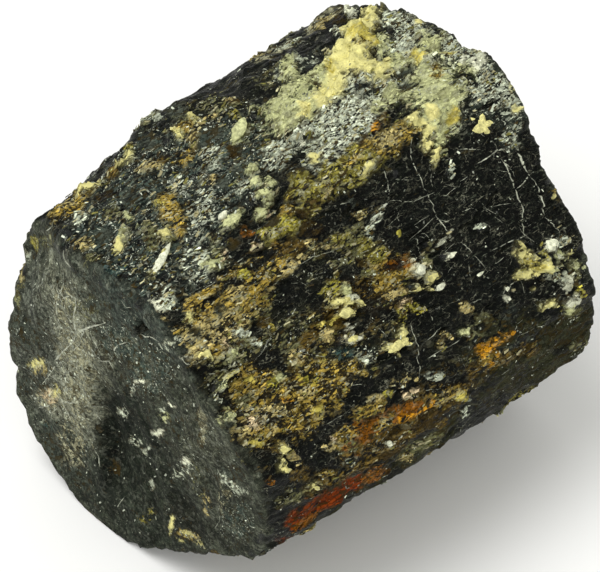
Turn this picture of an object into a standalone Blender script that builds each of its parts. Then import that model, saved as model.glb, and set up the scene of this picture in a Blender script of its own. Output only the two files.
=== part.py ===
"""A stout black tourmaline crystal, broken across at both ends, lying on one of its prism faces.

The prism runs along X. A place on its side is given by a clock angle round the axis
(0 is up, 90 is the front at -Y, 180 is down) and by x, in millimetres from the middle.
The far end, at +X, is a little thicker, and there a pale feldspar crust has grown on top.
Crystal and crust grew together, so they are one solid.
"""
import math
import random

import bmesh
import bpy
import numpy as np
from mathutils import Matrix, Vector, geometry, noise

MM = 0.001

# Prism faces: the clock angle of each, and its distance from the axis at three stations
FACE_CLOCK = np.array((-12, 42, 95, 145, 180, 218, 268, 315))
NEAR_REACH = np.array((23.5, 24.9, 28.3, 23.0, 26.6, 25.7, 21.7, 26.9))
MIDDLE_REACH = np.array((25.0, 25.0, 30.5, 24.8, 27.0, 26.6, 26.1, 29.8))
FAR_REACH = np.array((25.5, 26.3, 31.1, 26.2, 27.0, 27.1, 26.5, 28.5))
EDGE_SHARPNESS = 14
AXIS_HEIGHT = 25.4
AXIS_Y = 2.1

# Rest face underneath: x and y of its corners, how far its sides bow inwards between them, how
# steeply the stone rises outside it, and up to what height a point can belong to it
REST_CORNERS = ((-31.6, -2.4), (26.6, -4.6), (26.6, 10.4), (-31.6, 8.6))
REST_BOW = 1.2
REST_RISE = 0.12
REST_REACH = 5.0

# Ends: mean x, waves as (times round, height, clock angle of the crest), and chips off the
# rim as (clock angle, half width in degrees, how far the rim is set back; a lip is below 0)
NEAR_END = {
    "x": -31.5,
    "inward": 1,
    "waves": ((1, 0.7, 70), (2, 0.5, -64), (3, 0.43, -8)),
    "chips": ((303, 38, 4.5), (274, 5, 0.5), (244, 6, 0.9), (230, 7, 0.5)),
}
FAR_END = {
    "x": 29.9,
    "inward": -1,
    "waves": ((1, 2.4, -38), (2, 0.5, -12), (3, 0.45, 4)),
    "chips": (
        (46, 7, 0.8),
        (66, 14, -0.7),
        (1, 7, 1.1),
        (318, 8, 0.7),
        (262, 14, 1.4),
        (216, 10, 0.9),
        (150, 12, 1.2),
    ),
}
CHIP_REACH = 0.3

# Rounding where a side meets an end, and the broad bevel on the near end's upper edge
RIM_ROUND = 0.7
BEVEL_CLOCK = 345
BEVEL_HALF_WIDTH = 50
BEVEL_EXTRA = 1.9

# Hollows and swellings of the sides: clock angle, x, half width in degrees, half length, height
SWELLS = (
    (316, -3, 24, 9, 0.9),
    (316, -19, 26, 9, -0.9),
    (318, 22, 20, 10, -1.2),
    (300, 31, 14, 5, 0.5),
    (20, 30, 12, 5, -0.5),
    (12, -22, 14, 9, -0.5),
    (52, -20, 16, 12, -0.35),
    (100, -8, 22, 16, 0.15),
    (250, 6, 26, 18, -0.7),
    (205, -12, 14, 12, 0.4),
)

# Lengthwise ledges: clock angles of both edges, x of both ends, height
LEDGES = (
    (22, 31, -29, 1, 0.55),
    (36, 44, -15, -1, 0.5),
    (47, 55, -26, -9, -0.55),
    (24, 46, 7, 28, 0.45),
    (50, 66, 3, 27, 0.4),
    (69, 78, -24, 12, -0.55),
    (84, 92, -20, 18, 0.5),
    (318, 327, -8, 20, 0.55),
    (334, 345, -20, 2, -0.4),
    (228, 238, -24, 8, 0.6),
    (252, 262, -6, 26, -0.6),
    (276, 288, -18, 14, 0.6),
    (298, 305, -12, 22, -0.5),
)
LEDGE_EDGE_DEGREES = 2.6
LEDGE_END_LENGTH = 2.4

# Feldspar crust: clock angle, x, half width in degrees, half length of each patch, thickness
CRUST_PATCHES = (
    (-17, 21, 13, 12, 1.3),
    (-9, 13, 12, 10, 1.2),
    (2, 9, 13, 13, 1.0),
    (5, -4, 9, 9, 0.7),
    (14, 10, 8, 19, 0.9),
    (10, 24, 13, 9, 1.0),
    (-20, 9, 9, 7, 1.0),
    (-30, 24, 9, 6, 0.8),
    (65, 21, 6, 4, 0.7),
    (10, -14, 4, 4, 0.6),
)
GRAIN_SPACING = 3.4
GRAIN_COUNT = 460
GRAIN_SEED = 4
GRAIN_STEP = 0.55
GRAIN_SLOPE = 0.25
MEAN_RADIUS = 26.5

# Near end: a scooped hollow with one steep wall, a small pit, and low curved ribs
SCOOP_CENTRE = (-5.0, -8.0)
SCOOP_RADII = (13.0, 10.5)
SCOOP_WALL_Y = 4.6
SCOOP_WALL_WIDTH = 3.0
SCOOP_DEPTH = 1.5
PIT_CENTRE = (-5.5, 18.0)
PIT_RADIUS = 2.4
PIT_DEPTH = 1.4
RIB_CENTRE = (22.0, -20.0)
RIB_SPACING = 7.0
RIB_HEIGHT = 0.18

# Far end: terraces left by the break, each as (clock angle of its downhill side, distance, drop)
TERRACES = ((250, 7.0, 1.9), (120, 12.0, 1.4), (20, 15.0, -1.0), (200, 15.0, 0.9))
TERRACE_RISER = 2.6
RELIEF_EDGE = 0.2

# Unevenness of the whole surface
ROUGH_SIZE = 5.0
ROUGH_HEIGHT = 0.35

# Mesh divisions: clock angles are closer together on the top and front than at the back
FINE_CLOCK = (-48, 96)
FINE_COLUMNS = 60
COARSE_COLUMNS = 42
SIDE_ROWS = 29
ROUND_STEPS = (0.0, 0.5, 1.0)
END_SPACING = 2.3
END_MARGIN = 0.95


def clock_gap(clock, centre):
    """Signed difference of two clock angles, between -180 and 180 degrees."""
    return (clock - centre + 180) % 360 - 180


def dome(across, along=0.0):
    """Height of a smooth dome: 1 in its middle, 0 where across and along reach its edge."""
    return np.clip(1 - across ** 2 - along ** 2, 0, None) ** 2


def step(distance, width):
    """Rises smoothly from 0 to 1 as distance goes from -width/2 to width/2."""
    share = np.clip(distance / width + 0.5, 0, 1)
    return share * share * (3 - 2 * share)


def outline(clock, reach):
    """Radius of a prism whose faces lie at these distances, with its edges worn round."""
    facing = np.cos(np.radians(clock[..., None] - FACE_CLOCK))
    push = np.clip(facing, 0, None) / reach
    return (push ** EDGE_SHARPNESS).sum(-1) ** (-1 / EDGE_SHARPNESS)


def prism_radius(clock, along):
    """Radius at a share of the length, on a parabola through the three stations."""
    near = outline(clock, NEAR_REACH) * (2 * along - 1) * (along - 1)
    middle = outline(clock, MIDDLE_REACH) * 4 * along * (1 - along)
    far = outline(clock, FAR_REACH) * along * (2 * along - 1)
    return near + middle + far


def end_x(clock, share, end):
    """x of an end's surface at a share of the way from its middle out to the rim.

    Each wave fades towards the middle, and each chip reaches only a little way in.
    """
    x = np.full(clock.shape, float(end["x"]))
    for times, height, crest in end["waves"]:
        x += height * share ** times * np.cos(np.radians(times * (clock - crest)))
    for centre, half_width, depth in end["chips"]:
        chip = dome(clock_gap(clock, centre) / half_width, (1 - share) / CHIP_REACH)
        x += end["inward"] * depth * chip
    return x


def swell_height(clock, x):
    """Sum of the broad hollows and swellings of the sides."""
    height = np.zeros(clock.shape)
    for centre, middle, half_width, half_length, rise in SWELLS:
        height += rise * dome(clock_gap(clock, centre) / half_width, (x - middle) / half_length)
    return height


def ledge_height(clock, x):
    """Sum of the lengthwise ledges, each with soft edges and ends."""
    height = np.zeros(clock.shape)
    for first, last, start, end, rise in LEDGES:
        middle = (first + last) / 2
        inside = (last - first) / 2 - abs(clock_gap(clock, middle))
        across = step(inside, LEDGE_EDGE_DEGREES)
        along = step(x - start, LEDGE_END_LENGTH) * step(end - x, LEDGE_END_LENGTH)
        height += rise * across * along
    return height


def feldspar_grains():
    """Scattered grains as rows of (arc length, x, height, slope round the clock, slope along)."""
    dice = random.Random(GRAIN_SEED)
    grains = []
    for _ in range(GRAIN_COUNT):
        arc = dice.uniform(-24, 40)
        x = dice.uniform(-20, 33)
        if all(math.hypot(arc - g[0], x - g[1]) > GRAIN_SPACING for g in grains):
            height = dice.uniform(-GRAIN_STEP, GRAIN_STEP)
            slopes = [dice.uniform(-GRAIN_SLOPE, GRAIN_SLOPE) for _ in range(2)]
            grains.append((arc, x, height, *slopes))
    return np.array(grains)


GRAINS = feldspar_grains()


def grain_height(clock, x):
    """Height of the flat, tilted face of the nearest feldspar grain."""
    arc = np.radians(clock_gap(clock, 0)) * MEAN_RADIUS
    across = arc[..., None] - GRAINS[:, 0]
    along = x[..., None] - GRAINS[:, 1]
    faces = GRAINS[:, 2] + across * GRAINS[:, 3] + along * GRAINS[:, 4]
    nearest = (across ** 2 + along ** 2).argmin(-1)
    return np.take_along_axis(faces, nearest[..., None], -1)[..., 0]


def crust_height(clock, x):
    """Thickness of the feldspar crust: its thickest patch, broken into grains."""
    cover = np.zeros(clock.shape)
    thickness = np.zeros(clock.shape)
    for centre, middle, half_width, half_length, thick in CRUST_PATCHES:
        patch = dome(clock_gap(clock, centre) / half_width, (x - middle) / half_length)
        share = step(patch - 0.2, 0.3)
        cover = np.maximum(cover, share)
        thickness = np.maximum(thickness, thick * share)
    return thickness * 0.6 + cover * grain_height(clock, x)


def roughness(points):
    """Small unevenness at each point, the same on every run."""
    heights = [noise.noise(Vector(point) / ROUGH_SIZE) for point in points.reshape(-1, 3)]
    return ROUGH_HEIGHT * np.array(heights).reshape(points.shape[:-1])


def beyond_rest_face(x, y):
    """How far a point lies outside the rest face; below 0 inside it.

    It is the largest distance past any of the four sides, each bowed inwards as a parabola.
    """
    beyond = np.full(x.shape, -np.inf)
    corners = np.array(REST_CORNERS)
    for start, end in zip(corners, np.roll(corners, -1, axis=0)):
        run, rise = end - start
        length = math.hypot(run, rise)
        across = ((x - start[0]) * rise - (y - start[1]) * run) / length
        share = ((x - start[0]) * run + (y - start[1]) * rise) / length ** 2
        bow = 4 * REST_BOW * np.clip(share * (1 - share), 0, None)
        beyond = np.maximum(beyond, across + bow)
    return beyond


def place(clock, radius, x):
    """Points at these clock angles, radii and x, with those underneath laid on the rest face."""
    angle = np.radians(clock)
    y = AXIS_Y - radius * np.sin(angle)
    z = AXIS_HEIGHT + radius * np.cos(angle)
    beyond = beyond_rest_face(x, y)
    laid = np.where(beyond > 0, np.maximum(z, REST_RISE * beyond), 0)
    z = np.where(z < REST_REACH, laid, z)
    return np.stack((x, y, z), axis=-1)


def side_radius(clock, x):
    """Radius of the finished side at a clock angle and an x."""
    near = end_x(clock, 1.0, NEAR_END)
    along = (x - near) / (end_x(clock, 1.0, FAR_END) - near)
    smooth = prism_radius(clock, along)
    rough = roughness(place(clock, smooth, x))
    return smooth + swell_height(clock, x) + ledge_height(clock, x) + crust_height(clock, x) + rough


def near_rounding(clock):
    """Width of the rounded edge of the near end."""
    return RIM_ROUND + BEVEL_EXTRA * dome(clock_gap(clock, BEVEL_CLOCK) / BEVEL_HALF_WIDTH)


def far_rounding(clock):
    """Width of the rounded edge of the far end."""
    return np.full(clock.shape, RIM_ROUND)


def near_relief(y, z):
    """How far the near end is sunk, at points measured from the axis."""
    across = (y - SCOOP_CENTRE[0]) / SCOOP_RADII[0]
    upward = (z - SCOOP_CENTRE[1]) / SCOOP_RADII[1]
    wall = step(SCOOP_WALL_Y - y, SCOOP_WALL_WIDTH)
    scoop = SCOOP_DEPTH * dome(across, upward) * wall
    pit = PIT_DEPTH * dome((y - PIT_CENTRE[0]) / PIT_RADIUS, (z - PIT_CENTRE[1]) / PIT_RADIUS)
    turns = np.hypot(y - RIB_CENTRE[0], z - RIB_CENTRE[1]) / RIB_SPACING
    return scoop + pit + RIB_HEIGHT * np.sin(2 * math.pi * turns)


def far_relief(y, z):
    """How far the far end is sunk by its terraces, at points measured from the axis."""
    drop = np.zeros(y.shape)
    for clock, distance, height in TERRACES:
        angle = math.radians(clock)
        downhill = -y * math.sin(angle) + z * math.cos(angle)
        drop += height * step(downhill - distance, TERRACE_RISER)
    return drop


def rounded_rows(clock, end, rounding):
    """Rows round the edge between an end and the side, from the end outwards."""
    width = rounding(clock)
    rows = []
    for turn in ROUND_STEPS:
        angle = turn * math.pi / 2
        x = end_x(clock, 1.0, end) + end["inward"] * width * (1 - math.cos(angle))
        radius = side_radius(clock, x) - width * (1 - math.sin(angle))
        rows.append(place(clock, radius, x))
    return rows


def crystal_rows():
    """Rows of points round the crystal, from the near end's rim to the far end's rim."""
    first, last = FINE_CLOCK
    fine = np.linspace(first, last, FINE_COLUMNS, endpoint=False)
    coarse = np.linspace(last, first + 360, COARSE_COLUMNS, endpoint=False)
    clock = np.concatenate((fine, coarse))
    near_edge = rounded_rows(clock, NEAR_END, near_rounding)
    far_edge = rounded_rows(clock, FAR_END, far_rounding)
    start = near_edge[-1][:, 0]
    stop = far_edge[-1][:, 0]
    side = []
    for share in np.linspace(0, 1, SIDE_ROWS + 2)[1:-1]:
        x = start + (stop - start) * share
        side.append(place(clock, side_radius(clock, x), x))
    return near_edge + side + far_edge[::-1]


def seat_corners(rows):
    """Moves the point nearest to each corner of the rest face onto that corner."""
    points = np.array(rows)
    for corner in REST_CORNERS:
        target = np.array((*corner, 0))
        distance = np.linalg.norm(points - target, axis=-1)
        points[np.unravel_index(distance.argmin(), distance.shape)] = target
    return points


def lattice_inside(rim):
    """Evenly spaced y and z inside a rim, with each one's share of the way out to it."""
    offset = rim[:, 1:] - (AXIS_Y, AXIS_HEIGHT)
    rim_clock = np.degrees(np.arctan2(-offset[:, 0], offset[:, 1])) % 360
    order = np.argsort(rim_clock)
    rim_radius = np.hypot(offset[:, 0], offset[:, 1])
    half = rim_radius.max()
    lines = np.arange(-half, half, END_SPACING * math.sqrt(3) / 2)
    points = []
    for number, z in enumerate(lines):
        shift = (number % 2) * END_SPACING / 2
        for y in np.arange(-half + shift, half, END_SPACING):
            points.append((y, z))
    y, z = np.array(points).T
    clock = np.degrees(np.arctan2(-y, z)) % 360
    limit = np.interp(clock, rim_clock[order], rim_radius[order], period=360)
    share = np.hypot(y, z) / limit
    inside = share < END_MARGIN
    return y[inside], z[inside], clock[inside], share[inside]


def add_end(shape, rim_verts, rim, end, relief):
    """Closes the body with an end: an even net of triangles from the rim across the middle."""
    y, z, clock, share = lattice_inside(rim)
    x = end_x(clock, share, end) + end["inward"] * relief(y, z) * step(1 - share, RELIEF_EDGE)
    points = np.stack((x, AXIS_Y + y, AXIS_HEIGHT + z), axis=-1)
    points[:, 0] += roughness(points)
    inner_verts = [shape.verts.new(Vector(point) * MM) for point in points]
    verts = rim_verts + inner_verts
    flat = [Vector((vert.co.y, vert.co.z)) / MM for vert in verts]
    count = len(rim_verts)
    edges = [(i, (i + 1) % count) for i in range(count)]
    net = geometry.delaunay_2d_cdt(flat, edges, [], 1, 1e-6)
    for triangle in net[2]:
        shape.faces.new([verts[net[3][corner][0]] for corner in triangle])


def crystal_mesh():
    """Joins the rows into a sleeve and closes both ends."""
    rows = seat_corners(crystal_rows())
    shape = bmesh.new()
    loops = [[shape.verts.new(Vector(point) * MM) for point in row] for row in rows]
    for loop, following in zip(loops, loops[1:]):
        for i in range(len(loop)):
            j = (i + 1) % len(loop)
            shape.faces.new((loop[i], following[i], following[j], loop[j]))
    add_end(shape, loops[0], rows[0], NEAR_END, near_relief)
    add_end(shape, loops[-1], rows[-1], FAR_END, far_relief)
    bmesh.ops.triangulate(shape, faces=shape.faces)
    bmesh.ops.recalc_face_normals(shape, faces=shape.faces)
    mesh = bpy.data.meshes.new("tourmaline_crystal")
    shape.to_mesh(mesh)
    shape.free()
    return mesh


def centre_over_origin(mesh):
    """Moves the mesh so that its box is centred over the origin."""
    x = [vert.co.x for vert in mesh.vertices]
    y = [vert.co.y for vert in mesh.vertices]
    middle = Vector((min(x) + max(x), min(y) + max(y), 0)) / 2
    mesh.transform(Matrix.Translation(-middle))


def tourmaline_material():
    """Black tourmaline: almost black, with the gloss of a broken crystal face."""
    material = bpy.data.materials.new("black_tourmaline")
    material.use_nodes = True
    surface = material.node_tree.nodes["Principled BSDF"]
    surface.inputs["Base Color"].default_value = (0.035, 0.037, 0.032, 1)
    surface.inputs["Roughness"].default_value = 0.38
    surface.inputs["Metallic"].default_value = 0.0
    return material


def tourmaline_crystal():
    """The whole crystal, prism, ends and crust, as one solid."""
    mesh = crystal_mesh()
    centre_over_origin(mesh)
    mesh.materials.append(tourmaline_material())
    crystal = bpy.data.objects.new("tourmaline_crystal", mesh)
    bpy.context.collection.objects.link(crystal)
    return crystal


for leftover in list(bpy.data.objects):
    bpy.data.objects.remove(leftover, do_unlink=True)
tourmaline_crystal()
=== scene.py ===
import math
import random

import bpy
import numpy as np
from mathutils import Matrix, Vector


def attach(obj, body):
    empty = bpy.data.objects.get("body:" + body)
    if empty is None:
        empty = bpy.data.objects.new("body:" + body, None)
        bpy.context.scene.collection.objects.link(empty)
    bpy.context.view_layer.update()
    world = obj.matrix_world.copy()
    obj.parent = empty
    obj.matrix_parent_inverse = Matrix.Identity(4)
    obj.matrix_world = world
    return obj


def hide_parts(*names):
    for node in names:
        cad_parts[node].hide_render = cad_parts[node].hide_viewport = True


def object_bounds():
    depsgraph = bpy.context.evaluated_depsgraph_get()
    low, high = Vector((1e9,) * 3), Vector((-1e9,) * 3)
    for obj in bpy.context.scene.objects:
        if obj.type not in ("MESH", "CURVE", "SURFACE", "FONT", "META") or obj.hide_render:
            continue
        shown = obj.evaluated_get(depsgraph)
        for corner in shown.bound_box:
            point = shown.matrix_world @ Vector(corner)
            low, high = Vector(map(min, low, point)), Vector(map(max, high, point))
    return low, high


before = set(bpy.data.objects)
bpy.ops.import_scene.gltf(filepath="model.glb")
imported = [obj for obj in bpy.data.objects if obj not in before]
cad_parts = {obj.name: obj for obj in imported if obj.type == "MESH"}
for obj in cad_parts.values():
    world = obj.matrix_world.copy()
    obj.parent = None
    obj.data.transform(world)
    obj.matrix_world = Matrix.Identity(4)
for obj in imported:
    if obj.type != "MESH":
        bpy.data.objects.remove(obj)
cad_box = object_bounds()


# The table, the light and the camera
# A white table under one broad lamp high above and a weaker one from the front left, with a
# pale room round it, as in a product photograph. The camera looks down from the front left.

TABLE_HALF = 1.5
TABLE_COLOUR = (0.92, 0.92, 0.91, 1)
TABLE_ROUGHNESS = 0.9
TABLE_SHEEN = 0.1
ROOM_COLOUR = (1.0, 1.0, 0.96, 1)
ROOM_STRENGTH = 0.66
# Lamps: name, place in metres, side in metres, watts
LAMPS = (
    ("top_lamp", (-0.30, 0.22, 0.86), 0.6, 5.6),
    ("front_lamp", (-0.55, -0.60, 0.60), 0.5, 1.5),
)
CAMERA_TARGET = Vector((-0.00428, -0.00462, 0.03441))
CAMERA_AZIMUTH, CAMERA_ELEVATION, CAMERA_ROLL = -43.4, 46.59, -0.66
CAMERA_DISTANCE = 0.5
CAMERA_LENS = 225.0
SENSOR_WIDTH = 36.0


def white_table():
    """A flat square under the crystal, with a plain matt finish."""
    h = TABLE_HALF
    mesh = bpy.data.meshes.new("table")
    mesh.from_pydata([(-h, -h, 0), (h, -h, 0), (h, h, 0), (-h, h, 0)], [], [(0, 1, 2, 3)])
    paint = bpy.data.materials.new("white_table")
    paint.use_nodes = True
    surface = paint.node_tree.nodes["Principled BSDF"]
    surface.inputs["Base Color"].default_value = TABLE_COLOUR
    surface.inputs["Roughness"].default_value = TABLE_ROUGHNESS
    surface.inputs["Specular IOR Level"].default_value = TABLE_SHEEN
    mesh.materials.append(paint)
    table = bpy.data.objects.new("table", mesh)
    bpy.context.scene.collection.objects.link(table)


def lamps_and_room():
    """Square area lamps aimed at the crystal, and an even pale sky."""
    for name, place, side, watts in LAMPS:
        light = bpy.data.lights.new(name, "AREA")
        light.size = side
        light.energy = watts
        lamp = bpy.data.objects.new(name, light)
        lamp.location = place
        lamp.rotation_euler = (CAMERA_TARGET - Vector(place)).to_track_quat("-Z", "Y").to_euler()
        bpy.context.scene.collection.objects.link(lamp)
    room = bpy.data.worlds.new("room")
    room.use_nodes = True
    room.node_tree.nodes["Background"].inputs["Color"].default_value = ROOM_COLOUR
    room.node_tree.nodes["Background"].inputs["Strength"].default_value = ROOM_STRENGTH
    bpy.context.scene.world = room


def photograph_camera():
    """A long lens at the photograph's angle: back, right and up are its three axes."""
    a, e, r = (math.radians(v) for v in (CAMERA_AZIMUTH, CAMERA_ELEVATION, CAMERA_ROLL))
    back = Vector((math.sin(a) * math.cos(e), -math.cos(a) * math.cos(e), math.sin(e)))
    right = Vector((math.cos(a), math.sin(a), 0))
    up = back.cross(right)
    level = right * math.cos(r) - up * math.sin(r)
    upright = right * math.sin(r) + up * math.cos(r)
    lens = bpy.data.cameras.new("camera")
    lens.sensor_fit = "HORIZONTAL"
    lens.sensor_width = SENSOR_WIDTH
    lens.lens = CAMERA_LENS
    camera = bpy.data.objects.new("camera", lens)
    turn = Matrix((level, upright, back)).transposed().to_4x4()
    camera.matrix_world = Matrix.Translation(CAMERA_TARGET + back * CAMERA_DISTANCE) @ turn
    bpy.context.scene.collection.objects.link(camera)
    bpy.context.scene.camera = camera


white_table()
lamps_and_room()
photograph_camera()
bpy.context.scene.view_settings.view_transform = "Standard"


# The crystal
# A stout prism of black tourmaline, broken across at both ends. It is glossy black where a
# face is bare, dull grey on the near end, and elsewhere grown over or stained by other minerals.
# A place on its side is a clock angle (0 is up, 90 the front) and x, in mm as in the solid.

MM = 0.001
CENTRING = np.array((-0.167, -0.015, 0.0))
FACE_CLOCK = np.array((-12, 42, 95, 145, 180, 218, 268, 315))
NEAR_REACH = np.array((23.5, 24.9, 28.3, 23.0, 26.6, 25.7, 21.7, 26.9))
MIDDLE_REACH = np.array((25.0, 25.0, 30.5, 24.8, 27.0, 26.6, 26.1, 29.8))
FAR_REACH = np.array((25.5, 26.3, 31.1, 26.2, 27.0, 27.1, 26.5, 28.5))
EDGE_SHARPNESS = 14
AXIS_HEIGHT = 25.4
AXIS_Y = 2.1
REST_CORNERS = np.array(((-31.6, -2.4), (26.6, -4.6), (26.6, 10.4), (-31.6, 8.6)))
REST_BOW = 1.2
REST_RISE = 0.12
REST_REACH = 5.0
EASE_START = 0.35
BODY_MARGIN = 0.08
# The ends: mean x, which way is inwards, waves as times round, height and crest, and chips as
# clock angle, half width in degrees and depth
NEAR_END = {
    "x": -31.5,
    "inward": 1,
    "waves": ((1, 0.7, 70), (2, 0.5, -64), (3, 0.43, -8)),
    "chips": ((303, 38, 4.5), (274, 5, 0.5), (244, 6, 0.9), (230, 7, 0.5)),
}
FAR_END = {
    "x": 29.9,
    "inward": -1,
    "waves": ((1, 2.4, -38), (2, 0.5, -12), (3, 0.45, 4)),
    "chips": (
        (46, 7, 0.8),
        (66, 14, -0.7),
        (1, 7, 1.1),
        (318, 8, 0.7),
        (262, 14, 1.4),
        (216, 10, 0.9),
        (150, 12, 1.2),
    ),
}
CHIP_REACH = 0.3
RIM_ROUND = 0.7
BEVEL_CLOCK = 345
BEVEL_HALF_WIDTH = 50
BEVEL_EXTRA = 1.9
# Swellings: clock angle, x, half width in degrees, half length and rise in mm
SWELLS = (
    (316, -3, 24, 9, 0.9),
    (316, -19, 26, 9, -0.9),
    (318, 22, 20, 10, -1.2),
    (300, 31, 14, 5, 0.5),
    (20, 30, 12, 5, -0.5),
    (12, -22, 14, 9, -0.5),
    (52, -20, 16, 12, -0.35),
    (100, -8, 22, 16, 0.15),
    (250, 6, 26, 18, -0.7),
    (205, -12, 14, 12, 0.4),
)
# Ledges: clock angles from and to, x from and to, and rise
LEDGES = (
    (22, 31, -29, 1, 0.55),
    (36, 44, -15, -1, 0.5),
    (47, 55, -26, -9, -0.55),
    (24, 46, 7, 28, 0.45),
    (50, 66, 3, 27, 0.4),
    (69, 78, -24, 12, -0.55),
    (84, 92, -20, 18, 0.5),
    (318, 327, -8, 20, 0.55),
    (334, 345, -20, 2, -0.4),
    (228, 238, -24, 8, 0.6),
    (252, 262, -6, 26, -0.6),
    (276, 288, -18, 14, 0.6),
    (298, 305, -12, 22, -0.5),
)
LEDGE_EDGE_DEGREES = 1.6
LEDGE_END_LENGTH = 1.6
# Waves of the ledges' ends round the clock and of their edges along x: height, rate, phase
LEDGE_RAGGED = ((1.4, 1.9, 0), (0.9, 4.7, 0))
LEDGE_WANDER = ((1.1, 0.71, 0), (0.6, 1.9, 1))
# Patches of crust: clock angle, x, half width in degrees, half length and thickness in mm
CRUST_PATCHES = (
    (-17, 21, 13, 12, 1.3),
    (-9, 13, 12, 10, 1.2),
    (2, 9, 13, 13, 1.0),
    (5, -4, 9, 9, 0.7),
    (14, 10, 8, 19, 0.9),
    (10, 24, 13, 9, 1.0),
    (-20, 9, 9, 7, 1.0),
    (-30, 24, 9, 6, 0.8),
    (65, 21, 6, 4, 0.7),
    (10, -14, 4, 4, 0.6),
)
CRUST_EDGE_LEVEL = 0.2
CRUST_EDGE_WIDTH = 0.3
CRUST_BASE = 0.6
# Small relief, in mm: each row is size, height and seed, and a lump's also has its tilt
SPLINTERS = ((3.2, 0.28, 91), (1.7, 0.2, 92), (0.9, 0.12, 93))
LUMPS = ((3.2, 0.75, 0.3, 43), (1.7, 0.42, -0.4, 44), (0.8, 0.1, 0.2, 48))
PLATES = ((1.9, 0.16, 95), (0.8, 0.1, 96))
PLATE_STRETCH = 0.4
GROOVES = ((1.3, 0.12, 41), (0.55, 0.07, 42))
GROOVE_STRETCH = (0.16, 1, 1)
SPLINTER_SHORTENING = (1.6, 1, 1)
SPLINTER_EDGE = 0.16
LUMP_UNEVENNESS = 0.7
BROAD_RELIEF = ((5.0, 0.3, 45), (2.2, 0.22, 46))
FINE_RELIEF = ((0.9, 0.1, 47),)
EDGE_LUMPS = 0.3
EDGE_FADE = 2.0
COVER_EDGE = 0.3
COVER_SMOOTHING = 0.7
COVER_THICKNESS = 0.08
CRUST_THICKNESS = 0.15
RELIEF_MEAN = 0.2
# Tilted blocks of the crust: how far apart, how many tries, and where, as arc length and x
GRAIN_SPACING = 3.4
GRAIN_COUNT = 460
GRAIN_SEED = 4
GRAIN_STEP = 0.55
GRAIN_SLOPE = 0.25
CRUST_ARCS = (-24, 40)
CRUST_XS = (-20, 33)
MEAN_RADIUS = 26.5
# The scoop's wall is at this y, and bends towards -Y below WALL_BEND_Z
SCOOP_WALL_Y = 4.2
WALL_BEND_Z = -4.0
WALL_BEND = 0.02
WALL_WAVES = ((0.4, 0.8, 0), (0.25, 2.3, 0))
SCOOP_MIDDLE_Z = -7.0
SCOOP_RADII = (17.0, 14.0)
SCOOP_WALL_WIDTH = 2.6
SCOOP_DEPTH = 2.1
PIT_CENTRE = (-6.3, 20)
PIT_RADIUS = 1.5
PIT_DEPTH = 2.2
RIB_CENTRE = (22.0, -20.0)
RIB_SPACING = 7.0
RIB_HEIGHT = 0.18
# Scratches along the ribs: a radian round their middle counts as this many mm
SCRATCH_LENGTH = 9
SCRATCHES = ((1.6, 0.13, 51),)
END_ROUGHNESS = ((5.0, 0.3, 45), (2.0, 0.25, 61), (1.3, 0.08, 62))
END_PLATES = ((1.9, 1, 63),)
END_PLATE_STRETCH = (1, 1, 0.4)
END_PLATE_EDGE = 0.8
END_PLATE_HEIGHT = 0.22
# Terraces of the far end: the clock angle they face, distance from the axis and height; and
# the waves of their edges: height, and rates along y and z
TERRACES = ((250, 7.0, 1.9), (120, 12.0, 1.4), (20, 15.0, -1.0), (200, 15.0, 0.9))
TERRACE_RISER = 1.2
TERRACE_WAVES = ((0.8, 0.9, 0.4), (0.5, 0, 1.7))
RELIEF_EDGE = 0.2
RIM_RISE = 12
FINE_CLOCK = (-62, 104)
FINE_COLUMNS = 300
COARSE_COLUMNS = 130
SIDE_ROWS = 136
NEAR_ROUND_STEPS = 13
FAR_ROUND_STEPS = 4
NEAR_RINGS = 52
FAR_RINGS = 24
# How far the ends' stone spreads past the rim, how ragged that line is, and its width
END_SPREAD = 0.6
END_RAGGED = ((2.6, 1.5, 64), (1.2, 0.4, 65))
END_BLEND = 1.4
# Noise and granules repeat after this many cells; the gain brings noise to about -1 to 1
NOISE_CELLS = 256
NOISE_GAIN = 1.6
GRANULE_CELLS = 128
GRANULE_FALL = 1.5


def lattice_noise(points, size, seed):
    """Smooth noise, about -1 to 1, at points in mm.

    Each corner of a cubic lattice of this size has a random slope, and a point takes the blend
    of the eight slopes round it, each weighted by 3t^2 - 2t^3 of its nearness along each axis.
    """
    dice = np.random.default_rng(seed)
    slopes = dice.normal(size=(NOISE_CELLS, 3))
    slopes /= np.linalg.norm(slopes, axis=1, keepdims=True)
    shuffled = np.concatenate((dice.permutation(NOISE_CELLS),) * 3)
    cell = np.asarray(points / size, np.float32)
    base = np.floor(cell)
    offset = cell - base
    index = base.astype(np.int32) % NOISE_CELLS
    smooth = offset * offset * (3 - 2 * offset)
    slopes = slopes.astype(np.float32)
    total = np.zeros(cell.shape[:-1], np.float32)
    for i, j, k in np.ndindex(2, 2, 2):
        pick = shuffled[shuffled[shuffled[index[..., 0] + i] + index[..., 1] + j] + index[..., 2] + k]
        near = abs(1 - i - smooth[..., 0]) * abs(1 - j - smooth[..., 1]) * abs(1 - k - smooth[..., 2])
        slope = slopes[pick]
        rise = slope[..., 0] * (offset[..., 0] - i) + slope[..., 1] * (offset[..., 1] - j)
        total += near * (rise + slope[..., 2] * (offset[..., 2] - k))
    return total * NOISE_GAIN


def noise_sum(points, layers, start=0):
    """Start plus smooth noise of several sizes: rows of size in mm, height and seed."""
    return sum((height * lattice_noise(points, size, seed) for size, height, seed in layers), start)


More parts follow.
